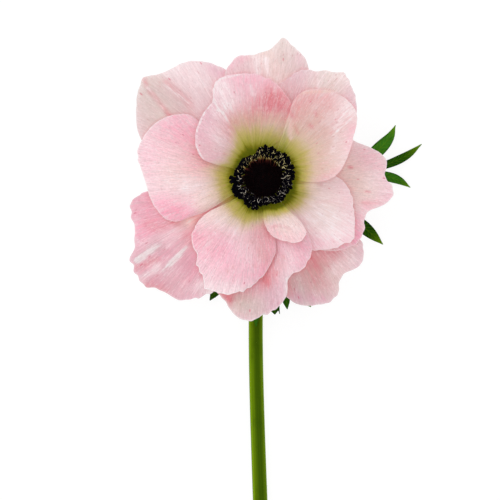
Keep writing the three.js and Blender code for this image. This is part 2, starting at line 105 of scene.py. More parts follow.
# The olive foot in each direction: (degrees from the right, where its darkest part ends, its reach)
FOOT_REACH = [(0, 11.2, 17.6), (30, 10.4, 20.6), (60, 9.8, 19.6), (90, 9.6, 19.4), (105, 10, 20.4),
              (118, 10.4, 20.8), (132, 10.2, 15.4), (155, 10, 14.4), (168, 10.4, 18.8), (180, 10.5, 18),
              (210, 11.3, 17.4), (235, 11.4, 17.8), (250, 11.2, 18), (262, 10.9, 16), (280, 10.9, 14.8),
              (300, 11.7, 15), (318, 11.8, 17.2), (330, 11.7, 17.8), (345, 11.4, 18), (360, 11.2, 17.6)]
OVERLAP_BLUR = 1.1  # how soft the border is of the painted shade on a petal where another lies behind it
CONTACT_SHADOW_WIDTH = 0.5  # the painted rosy contact shadow that a petal has beside the rim of one that lies on it
CONTACT_SHADOW_STEPS = 3
# Painted highlight along a petal's edge: its strength, and where on the way out it starts and grows full
EDGE_HIGHLIGHT = 0.8
EDGE_HIGHLIGHT_START = 0.985
EDGE_HIGHLIGHT_FADE = 0.01
PETAL_GLOW = 0.12  # painted glow, which stands in for light that comes through from behind, so that shadows on a petal stay rosy
STROKE_KINDS = ("blush", "rose", "mauve", "beige", "ash", "cream", "milk", "white", "shade", "bare")

# Stem
STEM_LENGTH_BEHIND = 250
STEM_SOLID_SIDES = 12
STEM_SIDES = 40
STEM_STEPS = 10  # rings between two points of its drift
STEM_RADIUS_TOP = 2.25
STEM_RADIUS_CUT = 2.6
STEM_ROUNDING = 0.97  # the round stem lies inside its many-sided solid
STEM_WIDEN = 1.08
STEM_SHADE_LINE_SHIFT = 0.03  # how far the painted shade line is from the very top, as a share of the way round
STEM_RIDGES = 9
STEM_RIDGE_HEIGHT = 0.018  # as a share of the radius
STEM_RIDGE_TWIST = 0.02  # radians a millimetre
STEM_DRIFT = [(0, 0), (14, -0.3), (34, -1.9), (48, -2.3), (64, -2.2), (84, -1.7), (110, -0.8), (145, 0.6),
              (185, 1.4), (220, 0.9), (STEM_LENGTH_BEHIND, -0.4)]
BEND_RADIUS = 11
BEND_STEPS = 20
PITH_SHARE = 0.55  # how much of the cut end's radius is pith
CUT_RINGS = (0.12, PITH_SHARE, 0.93, 1)
CUT_HOLLOW = 0.25  # how deep its middle lies
CUT_BARK_PITH = 0.35  # how pale the rest of it is
RECEPTACLE_TOP = 22.3
RECEPTACLE_PROFILE = [(3, 14), (5.3, 14.8), (6.1, 15.8), (6.1, 19), (6.1, 21.9), (5.8, RECEPTACLE_TOP)]
RECEPTACLE_STEPS = 4
DOWN_HAIRS = {
    "Density": 90000.0, "Seed": 3, "Lean": 0.7, "Length": 0.5 * MM, "Sides": 3, "Segments": 1,
    "Tip radius": 0.004 * MM, "Foot radius": 0.022 * MM,
    "Nearest": (FLOWER_Y - STEM_LENGTH_BEHIND + 0.6) * MM, "Lowest": 0.7 * MM,
}

# Dome
SEAT_GAP = 0.3
SEAT = RECEPTACLE_TOP + SEAT_GAP
DOME_SHIFT_X = 0.4
DOME_SHIFT_HEIGHT = 2.6
DOME_PROFILE = [(0.4, 0.1), (3.7, 0.1), (4, 1.3), (5.1, 2.6), (5.8, 4.2), (5.9, 5.6), (5.5, 6.8), (4.4, 7.8),
                (2.6, 8.35), (0.4, 8.5)]
DOME_STEPS = 3
DOME_SIDES = 48
DOME_STYLES = {
    "Density": 5500000.0, "Seed": 8, "Lean": 0.3, "Length": 0.75 * MM, "Sides": 5, "Segments": 2,
    "Tip radius": 0.07 * MM, "Foot radius": 0.2 * MM, "Nearest": -1.0, "Lowest": 0.0,
}
HAIR_SPIN = 6.28  # hairs and styles are turned any way about themselves
HAIR_STRETCH = (0.65, 1.15)

# Stamens
STAMENS = {
    "Count": 250, "Seed": 4, "Inner reach": 7.1 * MM, "Inner rise": 6.5 * MM, "Outer rise": 4.4 * MM,
    "Anther length": 1.5 * MM, "Anther width": 1.25 * MM, "Filament radius": 0.03,
    "Seam radius": 0.068 * MM, "Seam bend": 0.4 * MM,
}
GOLDEN_TURN = 2.39996  # from one anther to the next, in radians
TURN_STRAY = 0.05
ROW_STRAY = 0.12
RISE_STRAY = 0.3 * MM
ROW_CLOSING = 0.6  # below 1, the outer rows are the fuller ones
FILAMENT_ROOT_REACH = 5.1
FILAMENT_ROOT_HEIGHT = 0.7
FILAMENT_BOW = (0.35, 0, 1.05)  # on the way from (0, 0, 0) to (1, 0, 1)
ANTHER_TILT = (0.7, 0.6, 1.3)  # the greatest lean about each axis, in radians
ANTHER_SWELL = (0.82, 1.15)
LOBE_OFFSET = 0.24  # of an anther's two lobes, as a share of its width
LOBE_SPLAY = 0.35
LOBE_WIDTH = 0.7
LOBE_HEIGHT = 0.85
SEAM_LIFT = 0.42
SEAM_HALF_LENGTH = 0.55
SEAM_TILT = (0.3, 0.3, 0.7)
SEAM_STRETCH = (0.5, 1.15)
SEAM_CURL = 1.3
SEAM_STRAY = 0.45
# How far the outermost anthers reach round the ring: (share of a turn from the right, millimetres)
RING_OUTLINE = [(0, 10.5), (0.06, 10.9), (0.1, 11.3), (0.127, 10.9), (0.153, 10.8), (0.174, 9.9),
                (0.19, 11.1), (0.224, 10.8), (0.252, 10.7), (0.274, 9.5), (0.308, 7.8), (0.35, 8.5),
                (0.4, 9), (0.442, 9), (0.478, 9.6), (0.497, 11), (0.545, 10.9), (0.577, 11.1), (0.623, 10.2),
                (0.663, 10.6), (0.694, 11.1), (0.747, 9.4), (0.782, 8.9), (0.826, 9.4), (0.856, 10.2),
                (0.896, 9.6), (0.94, 10.2), (0.98, 10.1), (1, 10.5)]
RING_SCALE = 20  # millimetres that 1 stands for on the curve of that outline
# How far out the pale seams show: (share of a turn from the right, row of anthers)
SEAM_REACH = [(0, 0.9), (0.12, 0.9), (0.2, 1), (0.3, 1), (0.38, 0.86), (0.5, 0.64), (0.62, 0.74),
              (0.74, 0.95), (0.88, 1), (1, 0.9)]

# The innermost filaments, which bend in over the dome
FRINGE_SEED = 5
FRINGE_COUNT = 44
FRINGE_STEPS = 6
FRINGE_SIDES = 5
FRINGE_RADIUS = 0.09
FRINGE_DIRECTION = (96, 30)  # middle and spread, degrees from the right
FRINGE_SWAY = 0.25
FRINGE_START = (6.9, 7.9)  # least and greatest distance from the axis
FRINGE_END = (4.6, 5.8)
FRINGE_HEIGHT = 6.2
FRINGE_HEIGHT_STRAY = (-0.4, 0.3)
FRINGE_RISE = 2.2
FRINGE_THICK_END = 1.1
FRINGE_THIN_END = 0.4

# Leaves
LEAF_SKIN = 0.34
LEAF_EDGE = 0.1
LEAF_LIFT = 0.27  # middle of a leaf's skin over the underside of its solid
LEAF_TONE = 0.4
LEAFLET_ROWS = 30
LEAFLET_COLUMNS = 10
LEAFLET_CREASE = 0.45
LEAFLET_CREASE_CURVE = 1.3
LEAFLET_TWIST = 0.1
LEAFLET_TWIST_RATE = 1.1
LEAFLET_TIP_WIDTH = 0.25
LEAFLET_TIP_THINNING = 6
LEAFLET_ROOT_SHARE = 0.6
VEINS_PER_MM = 0.6
VEIN_LEAN = 1.6  # how many veins further on a side vein meets the edge

FAR_AWAY = 1e9
TINY = 1e-9

# A petal's rim, level, aim, arch, curl, ruffle and folds are its solid's, apart from a few points of some
# rims. wash: colour all over it, where "shade" is painted shade. pale_rim: how strong the painted highlight
# along its edge is. frill: how uneven its edge is. crisp: how strong the painted light and shade of its crepe
# relief is. creases: (from, to, width, height).
# strokes: soft strokes of each kind of colour, (width, strength, from, to and on along the path). Of the
# kinds, "shade" is painted shade, and painted light that lifts shadows where its strength is below 0; "white"
# is painted highlights along folds, creases and edges; some "rose" strokes are painted shade beside folds
# and some "milk" strokes painted light beside edges, the rest being the petal's own colour; and "bare"
# takes the olive off the foot.
PETALS = [
    dict(
        name="petal_front_small", level=5, aim=288, arch=1, curl=-0.8, ruffle=(0.2, 2, 0),
        rim=[(0.5, -9.6), (0.3, -14.3), (2.9, -19.5), (6.9, -21.5), (12.5, -22), (14.9, -18.9),
             (12.9, -14.8), (8.8, -11.3), (6, -9.3)],
        wash={"blush": 0.1, "cream": 0.3}, pale_rim=0.7, frill=0.12, crisp=1.5,
        creases=[((4, -16), (9, -15.5), 0.7, 0.12)],
        strokes=dict(
            blush=[(2, 0.2, (7.4, -20.6), (13.6, -20.3)), (1.4, 0.25, (1.9, -14.4), (4.3, -18.9))],
            rose=[(0.4, 0.6, (3.6, -16.7), (6, -16.3)), (0.4, 0.4, (7, -16.5), (9.4, -17.5))],
            cream=[(4, 0.5, (3.3, -11.7), (7.7, -15.1))],
            milk=[(0.6, 0.5, (1.9, -11.3), (2.9, -15.1)), (3, 0.16, (9.4, -16.5), (12.9, -19.9)),
                  (3, 0.3, (4.6, -14.1), (10.1, -15.8))],
            bare=[(0.7, 0.16, (1.7, -11.3), (2.2, -13.1))],
        ),
    ),
    dict(
        name="petal_front_lower_left", level=4, aim=246, arch=-1.2, curl=-1.5, ruffle=(0.5, 4, 0),
        rim=[(-5.7, -5.2), (-9.1, -7), (-13.2, -9.4), (-17.7, -11.2), (-21.5, -14.3), (-23.9, -18.5),
             (-24.2, -21), (-23.7, -23.7), (-22.3, -26.6), (-22.5, -29.7), (-20.3, -34.5), (-19.3, -38),
             (-17.3, -38.7), (-14.4, -39.5), (-12, -39.9), (-8.4, -39.3), (-4.3, -37.4), (-0.2, -34),
             (2.9, -29.2), (4.5, -24.7), (4.3, -20.6), (2.9, -16.5), (1.2, -11.7), (-0.5, -8.2)],
        wash={"blush": 0.15}, pale_rim=1.1, frill=0.16, crisp=1.5,
        strokes=dict(
            blush=[(3.4, -0.04, (-19.4, -15.1), (-9.8, -12.7)), (4.4, 0.88, (-22.8, -21.3), (-15.3, -23.4)),
                   (7, 0.28, (-11.9, -29.5), (-2.9, -32.3)), (6, 0.4, (-1.5, -20.6), (1.9, -28.9))],
            rose=[(3.4, 0.62, (-1.5, -21.3), (1.2, -26.8)), (3, 0.25, (-22.2, -21.3), (-17.3, -22.3)),
                  (1.2, 0.3, (0.2, -16.1), (2.2, -19.9)), (0.4, 0.5, (-14.3, -18.5), (-13.9, -18.9)),
                  (0.35, 0.5, (-12.3, -20.3), (-12.1, -20.5)), (0.3, 0.4, (-9.8, -21.3), (-9.4, -21.6)),
                  (0.35, 0.5, (-3.3, -21.8), (-3.3, -22.3)), (0.4, 0.5, (-12, -31.9), (-11.7, -32.1)),
                  (0.35, 0.5, (-10.1, -30.2), (-10, -30.6)), (0.35, 0.4, (-2.9, -29.9), (-2.7, -30.2)),
                  (0.9, 0.3, (-1.2, -24.7), (-0.5, -26.4))],
            cream=[(5, 0.8, (-18.7, -12.4), (-4.3, -15.1)), (4, 0.4, (-7.7, -16.1), (-0.2, -15.1))],
            milk=[(3.4, 0.34, (-19.4, -15.1), (-9.8, -12.7)), (5, 0.4, (-9.8, -19.9), (-4.3, -25.4)),
                  (4, 0.3, (-19.4, -25.4), (-16, -29.5)), (2.4, 0.5, (-19.4, -37.8), (-7.7, -39))],
            shade=[(1.5, -0.8, (-11.2, -6.2), (-7.7, -8.9)), (2.4, 0.22, (-8.4, -14.1), (-3.6, -15.1))],
            bare=[(1.5, 0.16, (-11.2, -6.2), (-7.7, -8.9)), (2.4, -0.06, (-8.4, -14.1), (-3.6, -15.1))],
        ),
    ),
    dict(
        name="petal_front_upper_right", level=4, aim=42, arch=2.4, curl=-0.6, ruffle=(0.6, 3, 2),
        rim=[(7, -1.7), (12.2, -1), (17, -1.5), (21.5, -1), (25.6, 1.2), (28.7, 6.2), (31.1, 13.7),
             (32.3, 20.6), (31.4, 23.7), (27.3, 27.8), (22.5, 29.7), (17.3, 30.2), (13.6, 29.2),
             (10.5, 26.1), (9.1, 19.9), (8.8, 11.3), (5.7, 6.2)],
        wash={"blush": 0.12, "beige": 0.36}, pale_rim=0, frill=0.05, crisp=0.8,
        creases=[((32, 22), (24, 14), 0.8, 0.35)],
        strokes=dict(
            blush=[(1.4, 0.3, (30.7, 17.2), (29.7, 9.6)), (1.3, 0.25, (19.8, -1), (26.6, 2.1))],
            rose=[(3.4, 0.26, (11.5, 27.5), (19.8, 27.8)), (3, 0.22, (10.1, 25.4), (11.2, 19.9)),
                  (0.5, 0.35, (23.9, 18.2), (29.7, 23.7)), (0.5, 0.25, (23.5, 15.3), (29.7, 20.8)),
                  (0.45, 0.7, (11.3, 17.5), (12.2, 15.1)), (0.45, 0.5, (16.5, 18), (17, 17.2)),
                  (0.4, 0.5, (17.9, 23), (18.2, 21.6)), (0.7, 0.5, (9.3, 23), (10.1, 21.3))],
            mauve=[(2, 0.14, (28.3, 13.1), (27.7, 6.9))],
            beige=[(8, 0.6, (13.6, 15.8), (20.4, 6.2)), (3, 0.4, (13.9, 9.6), (19.1, 4.5)),
                   (2.4, 0.3, (14.9, 9.6), (17.7, 5.5))],
            cream=[(0.8, 0.5, (9.1, 19.9), (9.4, 11)), (1, 0.5, (9.6, 18.5), (9.6, 11)),
                   (0.4, 0.8, (11.9, 28.9), (23.2, 29.6))],
            milk=[(1, 0.3, (22.8, 18.9), (29, 24.7)), (0.8, 0.4, (24.6, 17.2), (30.7, 22.7)),
                  (0.7, 0.25, (23.9, 8.9), (25.2, 13.7)), (4, 0.2, (27.7, 13.1), (26.3, 5.2)),
                  (2.2, 0.2, (27.7, 25.8), (31.1, 22.7)), (2, 0.1, (27.7, 11.3), (26.6, 6.2))],
            white=[(0.36, 0.5, (24, 14.4), (25.6, 16)), (0.4, 0.75, (25.6, 16), (30.4, 20.1)),
                   (0.32, 0.6, (30.7, 24.7), (25.6, 19.2)), (0.3, 0.5, (29.4, 25.4), (23.9, 19.6)),
                   (0.36, 0.6, (31.4, 23), (27.3, 19.2))],
            shade=[(3.4, 0.26, (19.1, 16.5), (22.5, 13.1))],
            bare=[(0.5, 0.36, (9.6, 20.6), (9.6, 13.7))],
        ),
    ),
    dict(
        name="petal_front_upper_left", level=3, aim=118, arch=1.6, curl=-0.8, ruffle=(0.7, 4, 1),
        folds=[(-17, 20, 5, -1.2), (-13.5, 24, 3, 1)],
        rim=[(4.6, 6.4), (9.8, 12.4), (11.2, 19.2), (9.6, 26), (4.6, 32.2), (-0.2, 34.9), (-7, 35.7),
             (-14.9, 34), (-16.8, 31.3), (-17.2, 26.4), (-20.4, 22), (-22.7, 16.5), (-22.8, 10.3),
             (-20.4, 6.4), (-15.6, 4.5), (-10.1, 3.4), (-6.4, 2.4)],
        wash={"blush": 0.17, "mauve": 0.1}, pale_rim=0.15, frill=0.1,
        creases=[((-15.6, 26.8), (-9.8, 21), 0.7, 0.4), ((-15, 24), (-12, 17), 0.8, -0.25)],
        strokes=dict(
            blush=[(3, 0.16, (-18.7, 25.4), (-16.7, 19.2)), (3, 0.2, (-9.4, 33.7), (-0.2, 33.7))],
            rose=[(3.3, 0.62, (3.6, 28.3), (7.2, 27)), (3, 0.35, (-0.2, 24.4), (4.3, 24.7)),
                  (4, 0.25, (-7.7, 19.9), (1.2, 21.6)), (3, 0.5, (-10.5, 15.1), (-3.6, 17.9)),
                  (2.4, 0.3, (-9.8, 15.8), (-5, 17.5)), (0.9, 0.3, (-14.9, 24.7), (-11.9, 19.6)),
                  (1.6, 0.3, (-10.8, 22.7), (-8.8, 16.5)), (0.5, 0.6, (-13.1, 8.2), (-12.5, 7.9)),
                  (0.5, 0.5, (-11.2, 7.9), (-10.6, 7.6))],
            mauve=[(3, 0.15, (-17.3, 25.4), (-17.3, 21.3)), (6, 0.35, (-20.8, 14.8), (-14.6, 9.6)),
                   (3, 0.3, (-18, 23.4), (-19.8, 17.2))],
            beige=[(5.4, 0.75, (-7.7, 17.5), (8.1, 19.9)), (4, 0.3, (-17.3, 8.9), (-10.5, 6.9)),
                   (3, 0.5, (-10.5, 15.1), (-0.2, 18.2))],
            cream=[(2.4, 0.5, (-12.5, 10.3), (-9.8, 4.8))],
            milk=[(3, 0.5, (-16, 31.6), (-13.9, 24.7)), (2, 0.3, (-12.5, 30.9), (-10.8, 26.8)),
                  (4, 0.3, (-14.9, 19.2), (-13.2, 12.4)), (2, 0.2, (-19.8, 18.2), (-13.9, 13.1)),
                  (0.4, 0.6, (-4, 31.6), (-3.4, 28.5))],
            white=[(0.42, 0.9, (-16.3, 26.4), (-15.3, 23.4)), (0.42, 0.8, (-15.3, 23.4), (-13.6, 22.3)),
                   (0.38, 0.8, (-13.6, 22.3), (-11.2, 18.2)), (0.35, 0.8, (-11.5, 25.8), (-10, 22.3)),
                   (0.3, 0.6, (-7.4, 27.1), (-6.5, 23)), (0.32, 0.75, (-7.7, 35.4), (-14.6, 33.8),
                   (-16.5, 31.3), (-16.9, 26.8), (-20.1, 22), (-22.4, 16.5), (-22.6, 10.3), (-20.3, 6.5))],
            shade=[(0.75, -1.1, (8.9, 13.7), (9.1, 19.9), (10.8, 25.4), (12.9, 28.2)),
                   (3, 0.2, (-10.5, 15.1), (-3.6, 17.9)), (3, 0.3, (-17.3, 25.4), (-17.3, 21.3))],
        ),
    ),
    dict(
        name="petal_front_bottom", level=3, aim=275, arch=-0.3, curl=-1.5, ruffle=(0.9, 4, 1.5),
        rim=[(-2.2, -7.6), (-4.3, -14.4), (-9.4, -23), (-13.9, -31.6), (-16, -37.8), (-14.9, -40.2),
             (-12.5, -42.6), (-10.5, -46), (-7.4, -48.4), (-3.6, -48.8), (0.5, -47.1), (5, -44.5),
             (7.9, -41.2), (8.6, -38.1), (8.6, -35.4), (9.7, -33.5), (13.1, -31.6), (15.7, -28.5),
             (16.9, -25.2), (16.4, -21.4), (14.3, -17.2), (10.5, -12.4), (5, -6.9)],
        wash={"blush": 0.12, "mauve": 0.46, "rose": 0.03}, pale_rim=0.5, frill=0.12, crisp=1.35,
        creases=[((5, -25), (-1, -38), 1, -0.3)],
        strokes=dict(
            blush=[(3, -0.12, (-7.7, -43.3), (-1.5, -44.7)), (3, -0.16, (1.5, -39.2), (-0.2, -40.9)),
                   (5, 0.3, (10.5, -21.3), (14.9, -23.4))],
            rose=[(2, 0.2, (-13.9, -39.8), (-11.2, -41.2)), (2.6, 0.6, (4, -29.5), (2.2, -33.7)),
                  (1.4, 0.25, (-0.2, -37.1), (-5.7, -40.5)), (0.35, 0.5, (5.1, -32.3), (5.3, -33.3)),
                  (0.35, 0.5, (7.2, -26.8), (7.4, -27.5)), (0.9, 0.3, (0.9, -34.7), (1.7, -36.4)),
                  (1.4, 0.2, (0.2, -36.4), (1.9, -33.3)), (2, 0.34, (-14.6, -39.5), (-11.2, -41.6)),
                  (0.7, 0.6, (-12, -41.4), (-11.5, -41.7))],
            mauve=[(3, -0.34, (-7.7, -43.3), (-1.5, -44.7)), (3, -0.14, (1.5, -39.2), (-0.2, -40.9)),
                   (4, -0.3, (-8.8, -41.9), (-4.3, -46)), (6, 0.25, (-1.5, -41.9), (6, -40.5)),
                   (3, 0.3, (-4.3, -47.4), (3.3, -44))],
            beige=[(3.4, 0.45, (-8.4, -41.6), (-2.2, -44.3))],
            ash=[(4, 0.8, (-8.8, -41.9), (-4.3, -46)), (3.4, 0.4, (-3.6, -43.3), (1.2, -44.7))],
            milk=[(3, 0.3, (8.8, -25.4), (7.4, -32.3)), (0.7, 0.5, (8.6, -35), (7.9, -40.9))],
            shade=[(3, 0.6, (-7.7, -44), (-2.2, -45)), (3, 0.4, (1.5, -39.2), (-0.2, -40.9)),
                   (3, -0.25, (9.4, -26.8), (9.4, -30.9)), (1.6, -0.5, (2.2, -21.3), (6.7, -22.3))],
        ),
    ),
    dict(
        name="petal_middle_left", level=2, aim=178, arch=-1.6, curl=-1.2, ruffle=(0.5, 3, 0.5),
        folds=[(-30, 8, 7, 1)],
        rim=[(-6.4, 3.4), (-12.9, 6.2), (-18, 10), (-20.4, 14.8), (-22.2, 19.6), (-24.9, 21.6),
             (-29.7, 21.9), (-34.5, 20.3), (-38.6, 17.2), (-41.7, 12.4), (-43.1, 8.8), (-42.3, 5.2),
             (-40, -2.1), (-38, -8.2), (-35, -12.4), (-32.1, -14.6), (-29, -14.9), (-24.9, -13.4),
             (-20.4, -12), (-15.6, -9.3), (-11.5, -6.5), (-6.7, -3.4)],
        wash={"blush": 0.22}, pale_rim=0.55, frill=0.07, crisp=1.45,
        strokes=dict(
            blush=[(4, 0.14, (-28.3, 19.9), (-22.8, 17.2)), (6, 0.28, (-28.3, 13.1), (-22.8, 7.6)),
                   (3, 0.2, (-39.3, 8.9), (-38.6, 0.7)), (2, 0.08, (-22.2, -8.9), (-17.3, -6.5)),
                   (3.4, 0.72, (-33.8, -10.3), (-26.6, -11.3)), (2.6, -0.18, (-20.8, -8.9), (-13.9, -6.2))],
            rose=[(3, 0.12, (-31.1, -10.3), (-29, -9.6)), (1.2, 0.3, (-21.5, 7.2), (-16, 4.8))],
            beige=[(3.4, 0.7, (-19.4, 5.2), (-12.5, 2.1))],
            cream=[(8, 0.75, (-24.9, 2.7), (-13.9, -4.8)), (2.6, 0.6, (-22.2, -10), (-13.2, -6.5))],
            milk=[(4, 0.26, (-38.6, 9.6), (-29.7, 6.9)), (4, 0.4, (-37.3, -1.4), (-29, -4.1)),
                  (2.4, 0.4, (-24.9, -2.7), (-15.3, -2.1)), (2.4, 0.32, (-23.5, -9.6), (-15.3, -6.9))],
            shade=[(1.3, -0.7, (-10.5, -6.5), (-8.4, -8.2)), (3, -0.4, (-33.5, -9.6), (-25.6, -11)),
                   (2, -0.5, (-22.2, -8.9), (-17.3, -6.5))],
            bare=[(1.3, 0.14, (-10.5, -6.5), (-8.4, -8.2))],
        ),
    ),
    dict(
        name="petal_middle_upper_right", level=2, aim=60, arch=1, curl=-0.6, ruffle=(0.8, 4, 0),
        rim=[(4.6, 4.1), (12.9, 9.6), (23.2, 13.1), (30.1, 17.2), (32.3, 22.7), (31.8, 27.8), (30.1, 32.6),
             (28.3, 35.7), (24.6, 36.3), (21.3, 36.9), (18.5, 36.5), (14.9, 37.3), (11.2, 35.9),
             (8.2, 33.7), (5, 31.9), (2.6, 28.9), (1.2, 25.4), (0.5, 18.2), (1.2, 7.9)],
        wash={"ash": 0.35, "mauve": 0.34}, pale_rim=0.2, frill=0.1,
        strokes=dict(
            blush=[(2, 0.12, (11.5, 28.9), (14.3, 30.2))],
            rose=[(2.8, 0.4, (7, 29.5), (9.4, 25.8)), (0.45, 0.18, (18.1, 36.1), (18.7, 30.6))],
            mauve=[(2.4, 0.4, (11.5, 35.7), (17, 36.1)), (4.4, -0.34, (20.1, 34.4), (24.6, 31.6)),
                   (3.4, 0.3, (28.3, 31.9), (31.4, 24))],
            ash=[(4.4, 0.75, (20.1, 34.4), (24.6, 31.6))],
            cream=[(4, 0.06, (19.8, 34.7), (25.2, 31.3)), (2, 0.6, (25.9, 35.7), (27.7, 34)),
                   (0.7, 0.5, (14.9, 29.9), (24.6, 29.7))],
            milk=[(2, 0.3, (7.4, 29.5), (9.8, 26.4)), (3, 0.2, (12.2, 33), (15.6, 34.4)),
                  (3, 0.36, (21.1, 33.7), (24.6, 30.9)), (0.35, 0.34, (18.7, 36.4), (19.2, 30.2)),
                  (1.6, 0.5, (26.3, 35.4), (28, 34))],
            shade=[(1.6, -0.4, (7.4, 30.2), (8.8, 28.2)), (3, 0.2, (21.1, 33.7), (24.6, 30.9))],
        ),
    ),
    dict(
        name="petal_middle_lower_right", level=2, aim=325, arch=1.2, curl=-0.8, ruffle=(0.4, 3, 0),
        rim=[(2.9, -7.6), (7, -12.7), (11.9, -18.5), (15.6, -22.3), (17, -24.7), (19.8, -24.7),
             (23.5, -24.4), (27.3, -23), (31.1, -21.1), (31.6, -17.5), (31.6, -13.4), (31.1, -8.9),
             (30.1, -4.8), (28, -1.5), (25.6, 0.3), (21.5, 1.7), (14.6, 2.1), (7.7, 1)],
        wash={"cream": 0.1, "blush": 0.06, "milk": 0.36}, pale_rim=0.6, frill=0.1, crisp=0.7,
        strokes=dict(
            blush=[(3, 0.08, (17.7, -22), (26.6, -19.9)), (3, 0.3, (29.4, -3.4), (31.1, -17.2)),
                   (2.4, 0.4, (17, -23.7), (28.3, -21.6)), (3, 0.3, (13.6, -17.2), (17, -22))],
            rose=[(0.5, 0.5, (19.4, -2.1), (20.1, -2.2)), (0.5, 0.25, (18.7, -8.2), (24.9, -7.9))],
            beige=[(5, 0.16, (13.9, -6.2), (17, -9.6))],
            cream=[(7, 0.55, (10.8, -4.1), (20.4, -11.7))],
            milk=[(4, 0.45, (20.4, -15.1), (26.6, -17.9))],
            shade=[(3, -0.25, (17.7, -22), (26.6, -19.9)), (1.2, -0.6, (8.8, -10.6), (12.5, -9.3)),
                   (1.1, -1.5, (12.2, -3.3), (17.3, -2.2))],
            bare=[(1.4, 0.14, (12.9, -3.1), (16.3, -2.4))],
        ),
    ),
    dict(
        name="petal_back_top", level=1, aim=92, arch=1.2, curl=-0.8, ruffle=(0.8, 3, 1),
        rim=[(3.3, 9.6), (10.1, 19.9), (14.6, 30.2), (16, 36.4), (14.6, 41.2), (12.2, 43.8), (9.4, 46.5),
             (7, 48.3), (5, 46.5), (2.6, 44.3), (-0.2, 43.3), (-3.6, 42.4), (-8.1, 42), (-10.1, 40.4),
             (-12.4, 37.3), (-13.2, 33.7), (-11.9, 25.1), (-7.7, 15.8), (-3.3, 7.6)],
        wash={"mauve": 0.31, "ash": 0.4}, pale_rim=0.15, frill=0.05,
        strokes=dict(
            blush=[(1.2, 0.3, (-11.2, 38.8), (-6.4, 41.6))],
            mauve=[(4, -0.16, (6.4, 46.7), (12.2, 38.5)), (2.4, 0.3, (12.9, 40.5), (13.9, 35.4))],
            beige=[(3, 0.3, (5, 41.2), (9.4, 35))],
            ash=[(5, 0.8, (6.4, 46.7), (12.2, 38.5))],
            cream=[(3.4, 0.6, (0.5, 42.6), (4.6, 34.4))],
            milk=[(3.4, 0.26, (7, 44), (9.4, 39.2)), (2, 0.3, (3.3, 39.8), (5.7, 33.7)),
                  (1, 0.6, (-2.2, 41.2), (-1.5, 36.4)), (0.7, 0.5, (0.9, 41.2), (1.9, 35.4))],
            shade=[(3.4, 0.42, (7, 44), (9.4, 39.2))],
        ),
    ),
    dict(
        name="petal_back_right", level=1, aim=355, arch=0.6, curl=-1, ruffle=(1.2, 5, 0.5),
        rim=[(6, -4.8), (12.9, -12.7), (18, -21.3), (20.4, -24.7), (23.5, -25.1), (27.3, -24.7),
             (30.7, -23.4), (33.1, -21.6), (34.5, -19.4), (35.2, -16.8), (35, -14.3), (35.9, -12),
             (37.3, -11), (39.7, -10.1), (42.4, -8.8), (44.7, -6.2), (45.2, -3.9), (44.3, -2.1),
             (42.6, -0.6), (42.1, 1.2), (42.4, 3.2), (42.9, 5.5), (41, 8.2), (37.6, 10.3), (33.5, 12),
             (30.1, 13.1), (24.9, 12.7), (16.3, 7.9), (7.7, 3.4)],
        wash={"beige": 0.16, "ash": 0.2, "blush": 0.05, "mauve": 0.1, "milk": 0.06}, pale_rim=0.35,
        frill=0.08, crisp=1.3,
        strokes=dict(
            blush=[(4, 0.25, (38.3, 6.9), (42.4, 2.1)), (3, 0.3, (44.1, -0.7), (44.1, -6.2)),
                   (1.8, 0.26, (34.2, -13.1), (35.6, -10)), (1.6, 0.5, (32.5, -15.8), (32.5, -20.3)),
                   (2, 0.5, (33.8, -19.9), (28.3, -23.7)), (2, 0.2, (37.6, -10.3), (43.5, -7.2))],
            rose=[(0.5, 0.25, (34.2, -8.6), (41, -8.4)), (0.4, 0.9, (29.9, 3.8), (30.6, 3.6)),
                  (0.35, 0.7, (35.6, -4.5), (36.9, -4.8))],
            mauve=[(4, 0.2, (30.7, 9.6), (35.6, 7.6))],
            cream=[(5, 0.6, (28.3, 4.5), (34.2, -3.1))],
            milk=[(3, 0.3, (37.6, -1.4), (41.7, -3.4))],
        ),
    ),
    dict(
        name="petal_back_upper_left", level=0, aim=140, arch=0.8, curl=-0.6, ruffle=(0.7, 3, 0),
        rim=[(-5.3, 6.2), (-7.7, 16.5), (-9.1, 26.8), (-10.5, 34.4), (-12.5, 37.3), (-15.6, 38.8),
             (-19.4, 40), (-23.2, 40.5), (-27.7, 39.7), (-31.4, 37.8), (-35.9, 35.9), (-39, 35.4),
             (-41, 34.9), (-42.1, 33), (-43.1, 29.2), (-43.6, 23.4), (-43.1, 16.8), (-41, 12), (-36.9, 7.9),
             (-26.6, 4.8), (-14.6, 2.7), (-7, 1.7)],
        wash={"ash": 0.45, "mauve": 0.34}, pale_rim=0.12, frill=0.05, crisp=0.85,
        creases=[((-40.5, 34), (-32.3, 23.4), 0.8, 0.35), ((-34.2, 32.2), (-21.5, 23.4), 0.8, 0.4)],
        strokes=dict(
            rose=[(1.5, 0.1, (-26.3, 24), (-24.2, 23.4)), (0.6, 0.5, (-39, 30.2), (-31.8, 21.6)),
                  (0.8, 0.45, (-33.1, 33.3), (-24.9, 25.8)), (0.6, 0.6, (-41, 34.4), (-40, 32.3))],
            mauve=[(6, -0.2, (-41.4, 30.9), (-35.2, 22)), (1.8, 0.5, (-17.3, 37.8), (-13.9, 35.7))],
            beige=[(3, 0.35, (-35.9, 30.2), (-29, 24)), (1.6, 0.6, (-39.3, 33), (-35.9, 33.7))],
            ash=[(6, 0.6, (-41.4, 30.9), (-35.2, 22))],
            milk=[(4, 0.45, (-28.3, 37.8), (-19.8, 31.9))],
            white=[(0.5, 0.55, (-40.4, 32.6), (-34.2, 23.7)), (0.5, 0.36, (-37.3, 31.6), (-28.7, 22.3)),
                   (0.52, 0.56, (-33.8, 32.3), (-24.2, 25.1))],
            shade=[(4, 0.6, (-40.7, 29.5), (-41.4, 19.2)), (4, 0.5, (-35.2, 30.2), (-28.3, 26.8)),
